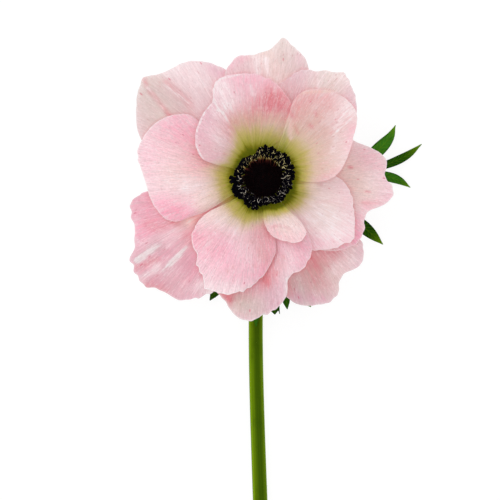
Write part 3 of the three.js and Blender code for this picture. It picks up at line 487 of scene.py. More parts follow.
                   (2, -0.5, (-23.5, 24.7), (-22.2, 22.7))],
        ),
    ),
    dict(
        name="petal_back_lower_left", level=0, aim=216, arch=-0.5, curl=-0.5, ruffle=(0.8, 6, 0),
        rim=[(-7.7, -2.1), (-18, -2.7), (-31.8, -3.4), (-39.7, -4.5), (-43.1, -6.2), (-45.5, -8.6),
             (-45.6, -12), (-44.1, -16.1), (-44.2, -21.3), (-44.3, -24.7), (-45.5, -27.1), (-45.3, -29.5),
             (-44.2, -32.1), (-42.8, -34.7), (-40.2, -37), (-36.9, -38.1), (-34.5, -39), (-32.8, -39.8),
             (-30.1, -41.5), (-25.9, -42.1), (-22.8, -41.3), (-19.4, -40.1), (-17, -39.2), (-14.9, -36.6),
             (-12.9, -28.9), (-9.4, -19.6), (-5, -9.3)],
        wash={"blush": 0.22, "mauve": 0.76, "rose": 0.13, "shade": 0.3}, pale_rim=0.2, frill=0.2,
        creases=[((-35, -23), (-43.6, -28), 1, 0.35), ((-25.5, -23.6), (-34, -31), 1, 0.35)],
        strokes=dict(
            blush=[(2.4, -0.3, (-44.1, -6.9), (-42.8, -13.1)), (4, 0.42, (-44.8, -7.6), (-43.5, -15.1)),
                   (4, -0.12, (-24.9, -14.8), (-11.2, -7.6)), (2.4, 0.25, (-24.9, -17.9), (-22.5, -24.7))],
            rose=[(3.4, 0.2, (-38.6, -36.4), (-30.1, -38.5)), (1.8, 0.68, (-22.5, -14.1), (-16, -11)),
                  (1, -0.3, (-27.3, -16.1), (-19.4, -10.8)), (1.4, 0.3, (-26.3, -20.6), (-24.6, -23.4)),
                  (1, 0.42, (-43.5, -30.7), (-36.6, -28.2)), (1.5, 0.34, (-39.7, -15.8), (-34.5, -17.2)),
                  (1, 0.45, (-31.1, -15.1), (-29, -16.1)), (1.1, 0.45, (-41.7, -37.1), (-33.5, -39.5)),
                  (4, -0.12, (-24.9, -14.8), (-11.2, -7.6)), (0.45, 0.4, (-20.1, -11.7), (-10.5, -6.5))],
            mauve=[(8, 0.3, (-38.6, -34.4), (-24.9, -39.2)), (4, -0.7, (-24.9, -14.8), (-11.2, -7.6))],
            beige=[(2.4, 0.42, (-23.2, -13.7), (-11.2, -7.6))],
            cream=[(4, 0.8, (-25.6, -14.4), (-11.2, -7.6))],
            milk=[(2.2, 0.22, (-33.5, -22), (-43.1, -27.5)), (1.8, 0.24, (-25.9, -23.4), (-34.9, -32.3)),
                  (1.2, 0.2, (-29, -18.2), (-39.3, -24.4)), (0.5, 0.3, (-28.3, -19.9), (-33.1, -23.4)),
                  (0.9, 0.2, (-29.7, -17.5), (-41, -22.3)), (1, 0.5, (-41.4, -34.4), (-36.2, -30.2)),
                  (3, 0.25, (-30.7, -33.7), (-28.3, -38.5)), (3, 0.1, (-23.2, -13.7), (-12.9, -8.6)),
                  (2, 0.4, (-19.8, -36.8), (-17.3, -39.5)), (2, 0.3, (-22.8, -37.8), (-19.4, -39.5))],
            white=[(0.74, 0.88, (-35.2, -22.8), (-43.5, -28.3)), (1.1, 0.7, (-39, -25.4), (-42.4, -27.7)),
                   (0.6, 0.84, (-26.3, -23.7), (-34.2, -31.9)), (0.85, 0.6, (-28.7, -26.8), (-31.4, -29.2)),
                   (0.35, 0.6, (-37.3, -22.7), (-40, -23.9)), (0.35, 0.5, (-35.2, -30.6), (-38, -33))],
            shade=[(2.4, 0.35, (-44.1, -6.9), (-42.8, -13.1)), (3, -0.4, (-41, -16.5), (-35.2, -15.8)),
                   (2.4, -0.3, (-29.7, -17.2), (-26.3, -17.2)), (2, 0.78, (-36.2, -23.7), (-42.8, -28.2)),
                   (1.6, 0.25, (-27.3, -24.7), (-32.8, -30.9)), (3.4, 0.5, (-38.6, -36.4), (-30.1, -38.5)),
                   (1.8, 0.08, (-22.5, -14.1), (-16, -11)), (1, -2, (-24.9, -14.8), (-19.1, -10.6)),
                   (1.6, 0.3, (-42.4, -31.6), (-40.7, -33.7))],
        ),
    ),
    dict(
        name="petal_back_lower_right", level=0, aim=305, arch=0.8, curl=-0.5, ruffle=(1, 4, 0),
        rim=[(-0.2, -9.3), (1.9, -19.6), (4.6, -31.6), (7, -39.2), (8.6, -41.2), (11.9, -43.3), (15.8, -44),
             (19.1, -43.6), (21.8, -43.1), (24.9, -41.6), (26.3, -39), (26.4, -36.1), (28, -33.1),
             (31.4, -31.4), (33.7, -29.9), (34.9, -27.1), (34.9, -24.7), (34, -21.6), (30.1, -17.9),
             (21.5, -12.7), (12.9, -7.6), (6.4, -4.1)],
        wash={"beige": 0.2, "ash": 0.2, "mauve": 0.3, "blush": 0.06, "shade": 0.3}, pale_rim=0.15,
        frill=0.08,
        strokes=dict(
            rose=[(3.4, 0.26, (15.6, -28.9), (19.8, -34.4)), (2.2, 0.42, (19.1, -27.5), (28.3, -26.1)),
                  (3, 0.22, (12.9, -28.9), (17, -34.4)), (1.4, 0.4, (8.8, -36.1), (9.4, -39.2))],
            mauve=[(1.8, 0.5, (10.1, -41.2), (22.5, -42.6)), (1.4, 0.3, (34.2, -24.7), (32.8, -29.9))],
            beige=[(3.4, 0.3, (15.6, -26.8), (20.4, -34.4)), (4.4, 0.6, (10.5, -37.1), (21.5, -33.3))],
            ash=[(4.4, 0.6, (14.6, -36.4), (24.6, -38.5)), (3, 0.3, (26.6, -25.4), (30.7, -28.9))],
            milk=[(2, 0.5, (29.4, -24), (30.7, -27.5)), (1.4, 0.3, (26.6, -28.9), (23.2, -33.3))],
            shade=[(3, 0.2, (10.5, -36.4), (19.1, -35)), (2.6, 0.25, (14.9, -41.2), (21.8, -40.9)),
                   (2, -0.35, (15.6, -27.1), (21.1, -26.8))],
        ),
    ),
]

# The leaflets of a leaf, much as in the solids: first its stalk, which has no widest place.
# widest: where along it a leaflet is widest. tone: from deep green, 0, to fresh green, 1.
# lime: how yellow its tip turns.
LEAVES = {
    "leaf_right": [
        dict(width=3.2, midrib=[(2.9, -0.7, 9.3), (8, -0.6, 9.8), (15, -0.8, 9.2), (21, 0, 8.2)]),
        dict(width=3.05, widest=0.77, tone=0.1,
             midrib=[(14, -0.8, 9.3), (23, 0.6, 7.7), (31, 2.1, 5.9), (43, 4.8, 2.6), (50, 8, 0.9),
                     (55.1, 11.9, 0)]),
        dict(width=4.7, widest=0.61, tone=1,
             midrib=[(26.8, 1.4, 6.8), (34, 4.7, 5.4), (39.75, 9.6, 4), (44, 14.2, 3), (46, 18.4, 2.2)]),
        dict(width=3.4, widest=0.68, tone=0.7,
             midrib=[(27, 1, 6.8), (36, 1.5, 4.7), (43, 0.7, 2.4), (47.4, -0.7, 1), (51.2, -3.1, 0)]),
        dict(width=4.5, widest=0.74, tone=0,
             midrib=[(12, -0.8, 9.4), (20, -5.5, 8.3), (27.9, -11.6, 6.5), (35.1, -16.9, 4.3),
                     (41.7, -22.8, 1.8)]),
        dict(width=3, widest=0.5, midrib=[(25, -9.2, 7.2), (29, -9.8, 6.2), (33.4, -10, 5)]),
        dict(width=3.4, widest=0.5,
             midrib=[(12, -0.7, 9.4), (18, 4, 8.5), (24, 9.4, 7), (28.6, 13.6, 5.4)]),
    ],
    "leaf_bottom": [
        dict(width=3.2, midrib=[(0, -3.3, 10.7), (0.1, -9, 11.8), (0.3, -15, 11.6), (0.4, -20, 11)]),
        dict(width=3.4, widest=0.8, tone=0.5, lime=0,
             midrib=[(0.2, -12, 11.7), (-1.2, -26, 10.3), (-2.1, -38, 8.9), (-2.3, -46, 7.3),
                     (-2.2, -51.2, 5.9)]),
        dict(width=3.8, widest=0.82, tone=0, lime=0,
             midrib=[(0.2, -12, 11.7), (-6, -24, 9.3), (-12, -33, 5.5), (-16.3, -39.2, 2),
                     (-18.2, -42.2, 0)]),
        dict(width=3.9, widest=0.9, tone=0, lime=0,
             midrib=[(0.3, -14, 11.6), (2, -27, 10.2), (3.5, -38, 8.4), (4.3, -47, 6.2)]),
        dict(width=1.6, widest=0.5, tone=0, lime=0,
             midrib=[(3.2, -36, 8.7), (4.8, -42, 7.4), (6, -46.8, 6)]),
        dict(width=3, widest=0.85, tone=0.3, lime=0,
             midrib=[(0.3, -14, 11.6), (4, -25, 9.7), (7.1, -35, 7), (8.6, -45.2, 4)]),
        dict(width=3.4, widest=0.78,
             midrib=[(3, -22, 10.3), (8.6, -33, 7.6), (12.6, -40, 5.4), (16.8, -44.4, 4)]),
    ],
    "leaf_upper_left": [
        dict(width=3.2, midrib=[(-2, 1.3, 9.2), (-5.6, 5.2, 9.4), (-10, 10, 8.8), (-14, 14, 7.9)]),
        dict(width=4, widest=0.5, midrib=[(-9, 9, 9), (-17, 17, 7), (-24, 24, 3.8), (-30.5, 30, 0)]),
        dict(width=3.6, widest=0.5,
             midrib=[(-9, 9, 9), (-18, 13.6, 7.3), (-28, 16, 4.4), (-37.4, 16, 0.4)]),
        dict(width=3.6, widest=0.5,
             midrib=[(-9, 9, 9), (-13.6, 18, 7.3), (-15, 27.6, 4.4), (-14.8, 36, 1)]),
    ],
}


def rgb(red, green, blue):
    """A colour as it looks on a screen, 0 to 255, in the linear values that a shader takes."""
    shares = np.array([red, green, blue]) / 255
    linear = np.where(shares > 0.04045, ((shares + 0.055) / 1.055) ** 2.4, shares / 12.92)
    return (*linear.tolist(), 1)


# Petal colours
SHELL_PINK = rgb(242, 214, 220)
HOT_PINK = rgb(252, 168, 193)
DUSTY_ROSE = rgb(220, 138, 146)
MILK = rgb(253, 240, 242)
# for the painted highlights on edges, folds and creases
SILVER = rgb(249, 242, 243)
WASHES = {"beige": rgb(222, 200, 184), "ash": rgb(222, 212, 205), "cream": rgb(238, 218, 200),
          "mauve": rgb(222, 182, 196)}
FOOT_COLORS = [(0, rgb(112, 120, 2)), (0.13, rgb(147, 145, 28)), (0.25, rgb(179, 174, 68)),
               (0.38, rgb(193, 183, 94)), (0.56, rgb(204, 188, 116)), (0.75, rgb(214, 194, 146)),
               (0.95, rgb(224, 200, 172))]
DASH_BROWN = rgb(196, 128, 138)
SPECK = rgb(206, 98, 124)
UNDERSIDE = rgb(236, 218, 214)
# rosy tint of the painted glow
GLOW_ROSE = rgb(255, 150, 150)
# Greens
STEM_GREEN = rgb(81, 108, 0)
STEM_LIME = rgb(106, 137, 5)
# Darker green, for patches at random and for painted shade along the top of the stem; lighter green, for
# painted light on its flanks
STEM_PATCH_AND_SHADE = rgb(52, 79, 0)
STEM_LIT_FLANK = rgb(129, 163, 12)
PITH = rgb(206, 212, 160)
LEAF_GREEN = rgb(58, 122, 26)
LEAF_DEEP = rgb(26, 69, 0)
LEAF_LIME = rgb(122, 162, 10)
DOWN = rgb(150, 172, 70)
# Darks
DOME_BLACK = rgb(9, 2, 4)
DOME_BROWN = rgb(42, 8, 9)
ANTHER_BLACK = rgb(2, 1, 5)
ANTHER_NAVY = rgb(7, 6, 22)
FILAMENT_DARK = rgb(26, 16, 28)
FILAMENT_BROWN = rgb(70, 50, 44)
POLLEN_STRAW = rgb(232, 218, 152)
POLLEN_SILVER = rgb(216, 208, 192)
POLLEN_DIM = rgb(70, 58, 50)
FRINGE_STRAW = rgb(166, 144, 84)
FRINGE_RUST = rgb(80, 26, 16)


class Wire:
    """An output in a node graph. Arithmetic on it adds the Math nodes that work it out."""

    def __init__(self, graph, socket):
        self.graph = graph
        self.socket = socket

    def math(self, operation, first, second=0.0):
        return self.graph.math(operation, first, second)

    def __add__(self, other):
        return self.math("ADD", self, other)

    def __radd__(self, other):
        return self.math("ADD", other, self)

    def __sub__(self, other):
        return self.math("SUBTRACT", self, other)

    def __rsub__(self, other):
        return self.math("SUBTRACT", other, self)

    def __mul__(self, other):
        return self.math("MULTIPLY", self, other)

    def __truediv__(self, other):
        return self.math("DIVIDE", self, other)

    def __pow__(self, other):
        return self.math("POWER", self, other)

    def __gt__(self, other):
        return self.math("GREATER_THAN", self, other)

    def sin(self):
        return self.math("SINE", self)

    def cos(self):
        return self.math("COSINE", self)

    def size(self):
        return self.math("ABSOLUTE", self)

    def fraction(self):
        return self.math("FRACT", self)

    def held(self):
        """The value kept between 0 and 1."""
        return self.math("MINIMUM", self.math("MAXIMUM", self, 0.0), 1.0)


class Graph:
    """A node tree, of a finish or of growing geometry."""

    def __init__(self, tree):
        self.tree = tree

    @staticmethod
    def pick(sockets, key):
        if isinstance(key, int):
            return sockets[key]
        return next(socket for socket in sockets if socket.enabled and key in (None, socket.name))

    def node(self, kind, settings=None, sockets=None, output=None):
        node = self.tree.nodes.new(kind)
        for key, value in (settings or {}).items():
            if key == "stops":
                set_stops(node.color_ramp, value)
            elif key == "curve":
                set_curve(node.mapping, value)
            else:
                setattr(node, key, value)
        for key, value in (sockets or {}).items():
            socket = self.pick(node.inputs, key)
            if isinstance(value, Wire):
                self.tree.links.new(value.socket, socket)
            else:
                socket.default_value = value
        return Wire(self, self.pick(node.outputs, output))

    def math(self, operation, first, second=0.0):
        return self.node("ShaderNodeMath", {"operation": operation}, {0: first, 1: second})

    def vector(self, x=0.0, y=0.0, z=0.0):
        return self.node("ShaderNodeCombineXYZ", sockets={"X": x, "Y": y, "Z": z})

    def axes(self, vector, names):
        return [self.node("ShaderNodeSeparateXYZ", sockets={0: vector}, output=name) for name in names]

    def curve(self, places, value):
        """What a smooth curve through the places gives for a value."""
        return self.node("ShaderNodeFloatCurve", {"curve": places}, {"Value": value})


def set_stops(ramp, stops):
    while len(ramp.elements) < len(stops):
        ramp.elements.new(1)
    for element, (position, color) in zip(ramp.elements, stops):
        element.position = position
        element.color = color


def set_curve(mapping, places):
    points = mapping.curves[0].points
    while len(points) < len(places):
        points.new(0.5, 0.5)
    for point, place in zip(points, places):
        point.location = place
    mapping.update()


class Finish(Graph):
    """A material and the patterns that it is made of."""

    def __init__(self, name):
        self.material = bpy.data.materials.new(name)
        self.material.use_nodes = True
        self.material.node_tree.nodes.clear()
        super().__init__(self.material.node_tree)

    def attribute(self, name):
        return self.node("ShaderNodeAttribute", {"attribute_name": name}, output="Fac")

    def uv(self, name):
        return self.axes(self.node("ShaderNodeUVMap", {"uv_map": name}), "XY")

    def place(self):
        return self.node("ShaderNodeTexCoord", output="Object")

    def noise(self, vector, scale=1.0, detail=2.0, roughness=0.5):
        sockets = {"Vector": vector, "Scale": scale, "Detail": detail, "Roughness": roughness}
        return self.node("ShaderNodeTexNoise", sockets=sockets)

    def ease(self, value, start, end):
        """0 before start and 1 past end, with a soft passage between them."""
        sockets = {"Value": value, "From Min": start, "From Max": end}
        return self.node("ShaderNodeMapRange", {"interpolation_type": "SMOOTHSTEP"}, sockets)

    def mix(self, share, first, second):
        return self.node("ShaderNodeMix", {"data_type": "RGBA"}, {"Factor": share, "A": first, "B": second})

    def speck(self, cells, size):
        """1 on a small spot in about half of the cells, and 0 elsewhere."""
        flat = {"voronoi_dimensions": "2D"}
        sockets = {"Vector": cells, "Scale": 1.0}
        distance = self.node("ShaderNodeTexVoronoi", flat, sockets, output="Distance")
        shade = self.node("ShaderNodeTexVoronoi", flat, sockets, output="Color")
        chosen = self.ease(self.axes(shade, "X")[0], 0.4, 0.95)
        return self.ease(distance, size, size * 0.4) * chosen

    def scaled(self, color, factor):
        """A colour made lighter or darker."""
        sockets = {0: color, "Scale": factor}
        return self.node("ShaderNodeVectorMath", {"operation": "SCALE"}, sockets)

    def bump(self, height, depth, strength):
        sockets = {"Height": height, "Distance": depth, "Strength": strength}
        return self.node("ShaderNodeBump", sockets=sockets)

    def surface(self, sockets):
        shader = self.node("ShaderNodeBsdfPrincipled", sockets=sockets)
        output = self.tree.nodes.new("ShaderNodeOutputMaterial")
        self.tree.links.new(shader.socket, output.inputs["Surface"])
        return self.material


def petal_finish():
    """Soft petal skin: fibres and fine veins that fan out from the foot, crepe, strokes of colour, specks."""
    finish = Finish("petal_skin")
    across, outwards = finish.uv("fan")
    seed = finish.attribute("seed")

    def fanning(across_rate, outwards_rate, shift, detail=3, roughness=0.5):
        place = finish.vector(across * across_rate, outwards * outwards_rate, seed + shift)
        return finish.noise(place, detail=detail, roughness=roughness)

    broad = fanning(0.5, 0.05, 0)
    fine = fanning(1.6, 0.13, 5, roughness=0.6)
    vein = fanning(0.8, 0.1, 7, detail=4, roughness=0.65)
    crepe = fanning(2.6, 0.5, 9, roughness=0.7)
    rays = fanning(0.35, 0.03, 11, roughness=0.7)
    strand = fanning(0.42, 0.03, 3)
    pores = finish.noise(finish.place(), scale=1500, detail=2, roughness=0.7)
    mottle = finish.noise(finish.place(), scale=420, detail=3, roughness=0.6)
    fibre = (broad - 0.5) * 0.8 + (fine - 0.5) * 1.1
    ragged = fibre + (mottle - 0.5) * 0.9

    color = SHELL_PINK
    for kind, tint in WASHES.items():
        color = finish.mix((finish.attribute(kind) * (1 + ragged)).held(), color, tint)
    blush = finish.attribute("blush") * (1 + ragged * 1.2) + ragged * 0.16
    color = finish.mix(blush.held(), color, HOT_PINK)
    # Painted shade: deeper rose where another petal lies behind this one and keeps back the light from behind
    covered = finish.attribute("covered") * (0.06 + ragged * 0.12)
    # Painted contact shadow: rosier beside the rim of a petal that lies on this one
    rose = finish.attribute("rose") * (0.96 + ragged * 1.1) + covered + finish.attribute("contact") * 0.4
    # Some rose strokes are painted shade beside folds; the rest are the petal's own colour
    color = finish.mix(rose.held(), color, DUSTY_ROSE)
    threads = finish.ease((vein - 0.5).size(), 0.02, 0.004)
    # Some milk strokes are painted light that lifts shadows beside edges; the rest, and the pale threads, are
    # the petal's own colour
    milk = finish.attribute("milk") * (0.9 + ragged * 1.6) + threads * 0.38
    color = finish.mix(milk.held(), color, MILK)
    # Painted highlights along folds, creases and edges
    white = finish.ease(finish.attribute("white") * (1 + ragged * 2), 0.2, 1.1)
    color = finish.mix(white * 0.85, color, SILVER)

    halo = finish.attribute("halo") + (broad - 0.5) * 0.2 + (rays - 0.5) * 0.4 + (mottle - 0.5) * 0.2
    foot = finish.node("ShaderNodeValToRGB", {"stops": FOOT_COLORS}, {0: halo})
    near_foot = finish.ease(halo, 1.5, 0.5)
    # Painted glow: the emission stands in for light that comes through from behind and is rosier than the
    # petal. The base colour is dimmed by as much.
    glow = finish.mix(near_foot, finish.mix(0.3, color, GLOW_ROSE), foot)
    color = finish.mix(near_foot, color, foot)

    cells = finish.vector(across * 0.75 + seed + fine * 1.5, outwards * 0.27 + mottle)
    dashes = finish.speck(cells, size=0.16)
    color = finish.mix(dashes * finish.ease(outwards, 6, 16) * 0.4, color, DASH_BROWN)
    specks = finish.speck(finish.vector(across * 0.15 + seed, outwards * 0.085), size=0.06)
    color = finish.mix(specks * 0.7, color, SPECK)
    # Painted highlight along the petal's edge
    color = finish.mix(finish.attribute("pale_edge") * (1 + ragged * 0.6), color, SILVER)
    color = finish.mix(finish.attribute("under") * 0.6, color, UNDERSIDE)
    strands = finish.ease((strand - 0.5).size(), 0.03, 0.004) * finish.ease(outwards, 30, 10)
    # Painted light and shade of the crepe relief, and darker fibre strands
    grain = (crepe - 0.5) * 0.38 + (pores - 0.5) * 0.24 + (fine - 0.5) * 0.26
    # with painted shade from the shade strokes, and painted light where their strength is below 0
    light = 1 + grain * finish.attribute("crisp") - strands * 0.14 - finish.attribute("shade") * 0.2
    color = finish.scaled(finish.scaled(color, light), 0.96 - PETAL_GLOW)

    return finish.surface({
        "Base Color": color, "Roughness": 0.5 + mottle * 0.2,
        "Normal": finish.bump(fine * 0.9 + broad * 0.6 + crepe * 0.5, depth=0.00014, strength=0.8),
        "Emission Color": glow, "Emission Strength": PETAL_GLOW,
        "Subsurface Weight": 0.5, "Subsurface Scale": 0.0012, "Subsurface Radius": (1, 0.7, 0.7),
        "Sheen Weight": 0.05, "Specular IOR Level": 0.15,
    })


def stem_finish():
    """Fresh stem: lengthwise ribs of lighter and darker green, painted shade along its top and painted light
    on its flanks, pale pith where it is cut.
    """
    finish = Finish("stem_skin")
    around, along = finish.uv("length")  # around: near 1 on top of the lying stem, near 0 under it
    ribs = finish.noise(finish.vector(around * 26, along * 0.02), detail=3)
    patches = finish.noise(finish.place(), scale=160, detail=3)
    color = finish.mix(finish.ease(ribs, 0.35, 0.72), STEM_GREEN, STEM_LIME)
    color = finish.mix(finish.ease(patches, 0.5, 0.75) * 0.4, color, STEM_PATCH_AND_SHADE)
    # Painted shade along the top of the lying stem
    color = finish.mix(finish.ease(around, 0.74, 0.95) * 0.85, color, STEM_PATCH_AND_SHADE)
    # Painted light on its flanks
    color = finish.mix(finish.ease((around - 0.6).size(), 0.14, 0.02) * 0.7, color, STEM_LIT_FLANK)
    color = finish.mix(finish.attribute("pith"), color, PITH)
    return finish.surface({
        "Base Color": color, "Roughness": 0.42 + patches * 0.2,
        "Normal": finish.bump(ribs, depth=0.00012, strength=0.6),
        "Subsurface Weight": 0.03, "Subsurface Scale": 0.0008, "Specular IOR Level": 0.03,
    })


def leaf_finish():
    """Leaf: a pale midrib, side veins that slant forward, darker margins and yellow-green tips."""
    finish = Finish("leaf_skin")
    sideways, along = finish.uv("blade")
    offset = sideways.size()
    tone = finish.attribute("tone")
    tip = finish.attribute("tip")
    veins = ((along * VEINS_PER_MM - offset * VEIN_LEAN) * math.tau).sin()
    mottle = finish.noise(finish.place(), scale=500, detail=3)
    streaks = finish.noise(finish.vector(sideways * 2.2, along * 0.25, tone), detail=3)
    color = finish.mix(tone, LEAF_DEEP, LEAF_GREEN)
    color = finish.scaled(color, 0.86 + (mottle - 0.5) * 0.6 + (streaks - 0.5) * 0.9)
    color = finish.mix(finish.ease(veins, 0.75, 1.0) * 0.16, color, LEAF_LIME)
    color = finish.scaled(color, 1.08 - finish.ease(offset, 0.7, 0.92) * 0.36)
    midrib = finish.ease(offset, 0.14, 0.03)
    color = finish.mix((midrib * 0.14 + tip * tip * 0.7).held(), color, LEAF_LIME)
    relief = finish.bump(mottle * 0.3 - midrib - veins * 0.15, depth=0.00015, strength=0.7)
    return finish.surface({
        "Base Color": color, "Roughness": 0.4 + mottle * 0.25, "Normal": relief, "Specular IOR Level": 0.03,
    })


def mottled_finish(name, first, second, scale, roughness, depth, edges=(0.4, 0.7), shine=0.1):
    """Two colours in soft patches over a fine relief."""
    finish = Finish(name)
    patches = finish.noise(finish.place(), scale=scale, detail=3)
    color = finish.mix(finish.ease(patches, *edges), first, second)
    return finish.surface({
        "Base Color": color, "Roughness": roughness + patches * 0.2,
        "Normal": finish.bump(patches, depth, strength=0.6), "Specular IOR Level": shine,
    })


def pollen_finish():
    """Pollen seams: straw at the top of the ring and silver elsewhere, some bright and some dim."""
    finish = Finish("pollen_skin")
    north = finish.axes(finish.place(), "Y")[0]
    patches = finish.noise(finish.place(), scale=300, detail=2)
    dimness = finish.noise(finish.place(), scale=900, detail=1)
    straw = finish.ease(north + patches * 0.008, (FLOWER_Y + 2) * MM, (FLOWER_Y + 9) * MM)
    color = finish.mix(straw, POLLEN_SILVER, POLLEN_STRAW)
    color = finish.mix(finish.ease(dimness, 0.46, 0.62) * 0.75, color, POLLEN_DIM)
    return finish.surface({"Base Color": color, "Roughness": 0.6, "Specular IOR Level": 0.1})


def fringe_finish():
    """The innermost filaments: straw at their outer end, rust, then nearly black over the dome."""
    finish = Finish("fringe_skin")
    along = finish.attribute("reach")
    color = finish.mix(finish.ease(along, 0.15, 0.5), FRINGE_STRAW, FRINGE_RUST)
    color = finish.mix(finish.ease(along, 0.45, 0.95), color, DOME_BROWN)
    return finish.surface({"Base Color": color, "Roughness": 0.6, "Specular IOR Level": 0.1})


def smooth_curve(points, steps):
    """Points on a centripetal Catmull-Rom curve through the given ones, so many to a stretch."""
    points = np.asarray(points, float)
    padded = np.vstack([2 * points[0] - points[1], points, 2 * points[-1] - points[-2]])
    curve = []
    for p0, p1, p2, p3 in zip(padded, padded[1:], padded[2:], padded[3:]):
        t1 = np.linalg.norm(p1 - p0) ** 0.5
        t2 = t1 + np.linalg.norm(p2 - p1) ** 0.5
        t3 = t2 + np.linalg.norm(p3 - p2) ** 0.5
        for t in np.linspace(t1, t2, steps, endpoint=False):
            a1 = p0 + (p1 - p0) * t / t1
            a2 = p1 + (p2 - p1) * (t - t1) / (t2 - t1)
            a3 = p2 + (p3 - p2) * (t - t2) / (t3 - t2)
            b1 = a1 + (a2 - a1) * t / t2
            b2 = a2 + (a3 - a2) * (t - t1) / (t3 - t1)
            curve.append(b1 + (b2 - b1) * (t - t1) / (t2 - t1))
    curve.append(points[-1])
    return np.array(curve)


def distance_to_line(x, y, start, end):
    """How far each point is from a straight line between two points."""
    ahead = np.subtract(end, start)
    length = max(float(ahead @ ahead), TINY)
    along = np.clip(((x - start[0]) * ahead[0] + (y - start[1]) * ahead[1]) / length, 0, 1)
    return np.hypot(x - start[0] - along * ahead[0], y - start[1] - along * ahead[1])


def inside(x, y, outline):
    """1 well inside an outline and 0 well outside it, with a soft border."""
    within = np.zeros(x.shape, bool)
    nearest = np.full(x.shape, FAR_AWAY)
    for start, end in zip(outline, [*outline[1:], outline[0]]):
        (x0, y0), (x1, y1) = start, end
        spans = (y0 > y) != (y1 > y)
        crossing = x0 + (x1 - x0) * (y - y0) / (y1 - y0 if y1 != y0 else TINY)
        within ^= spans & (x < crossing)
        nearest = np.minimum(nearest, distance_to_line(x, y, start, end))
    signed = np.where(within, nearest, -nearest)
    return 1 / (1 + np.exp(-signed / (0.5 * OVERLAP_BLUR)))


def walked_along(points):
    """How far it is from the first point to each of them, along them all."""
    return np.concatenate([[0], np.cumsum(np.linalg.norm(np.diff(points, axis=0), axis=1))])


def ring_faces(sides, count, base=0):
    """The faces of a tube's wall: so many rings of so many points."""
    side = np.arange(sides)
    ring = base + np.arange(count - 1)[:, None] * sides
    after = (side + 1) % sides
    wall = np.stack([ring + side, ring + after, ring + after + sides, ring + side + sides], 2)
    return wall.reshape(-1, 4).tolist()


def tube_faces(sides, count, base=0):
    """The faces of a closed tube: its wall, and a cap on its first and on its last ring."""
    last = base + (count - 1) * sides
    caps = [range(base + sides - 1, base - 1, -1), range(last, last + sides)]
    return ring_faces(sides, count, base) + [tuple(cap) for cap in caps]


def flower_mesh(name, points, faces, uv=None, attributes=None):
    """A smooth mesh from points in the flower's millimetres, with a UV map and values at its points."""
    mesh = bpy.data.meshes.new(name)
    placed = (np.asarray(points, float) + (FLOWER_X, FLOWER_Y, 0)) * MM
    mesh.from_pydata(placed.tolist(), [], faces)
    mesh.shade_smooth()
    if uv is not None:
        title, places = uv
        corners = np.empty(len(mesh.loops), np.int32)
        mesh.loops.foreach_get("vertex_index", corners)
        layer = mesh.uv_layers.new(name=title)
        layer.uv.foreach_set("vector", np.asarray(places, np.float32)[corners].ravel())
    for title, values in (attributes or {}).items():
        layer = mesh.attributes.new(title, "FLOAT", "POINT")
        layer.data.foreach_set("value", np.asarray(values, np.float32).ravel())
    return mesh


def piece(name, mesh, finish, node):
    """An object for a mesh, that rides on the flower and stands for one of its solids."""
    mesh.materials.clear()
    mesh.materials.append(finish)
    made = bpy.data.objects.new(name, mesh)
    bpy.context.scene.collection.objects.link(made)
    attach(made, "root")
    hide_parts(node)
    return made


def sheet_faces(rows, columns):
    """The faces of a closed sheet: its underside's points come first, row by row, then its top's."""
    width = columns + 1
    top = (rows + 1) * width
    start = (np.arange(rows)[:, None] * width + np.arange(columns)).ravel()
    under = np.stack([start, start + 1, start + width + 1, start + width], 1)
    over = top + np.stack([start, start + width, start + width + 1, start + 1], 1)
    edge = np.array([
        *range(columns), *(row * width + columns for row in range(rows)),
        *range(rows * width + columns, rows * width, -1), *(row * width for row in range(rows, 0, -1)),
    ])
    after = np.roll(edge, -1)
    wall = np.stack([edge, top + edge, top + after, after], 1)
    return np.vstack([under, over, wall]).tolist()


def sheet_points(x, y, middle, edge, skin, thinning):
    """The points of a thin closed sheet round its middle face, as thick as its edge where thinning is 0."""
    half = 0.5 * (edge + (skin - edge) * thinning)
    return np.vstack([np.stack([x, y, z], 2).reshape(-1, 3) for z in (middle - half, middle + half)])


def petal_height(petal, x, y, outwards, across):
    """The underside of the petal's solid, by the same rule as in its source."""
    far = (np.hypot(x, y) - CLAW_RADIUS) / PETAL_REACH
    climb = CLIMB + CLIMB_PER_LEVEL * petal["level"]
    droop = DROOP + DROOP_PER_LEVEL * petal["level"]
    z = CLAW_HEIGHT + LEVEL_PITCH * petal["level"] + climb * far + droop * far**2
    aim = math.radians(petal["aim"])
    sideways = (y * math.cos(aim) - x * math.sin(aim)) / ARCH_HALF_WIDTH
    z += petal["arch"] * sideways**2 * np.clip(ARCH_RAMP * far, 0, 1)
    loose = np.clip(LOOSE_RAMP * far, 0, 1)
    z += petal["curl"] * loose * np.clip((outwards - CURL_START) / (1 - CURL_START), 0, 1) ** 2
    height, waves, phase = petal["ruffle"]
    z += height * loose * outwards**3 * np.sin(math.tau * waves * across + phase)
    for fold_x, fold_y, size, lift in petal.get("folds", ()):
        z += lift * np.exp(-((x - fold_x) ** 2 + (y - fold_y) ** 2) / (2 * size**2))
    return z


def fine_relief(petal, x, y, outwards, across, seed):
    """What a petal has over its solid: low fanning waves and its creases."""
    loose = np.clip(RIPPLE_RAMP * outwards, 0, 1) * np.clip(RIPPLE_FADE * (1 - outwards), RIPPLE_AT_EDGE, 1)
    turns = [math.tau * count * across + seed * count + 2 * outwards for count in RIPPLE_COUNTS]
    z = RIPPLE * loose * sum(np.sin(turn) for turn in turns) / 2
    for start, end, width, height in petal.get("creases", ()):
        z += height * np.exp(-distance_to_line(x, y, start, end) / width)
    return z


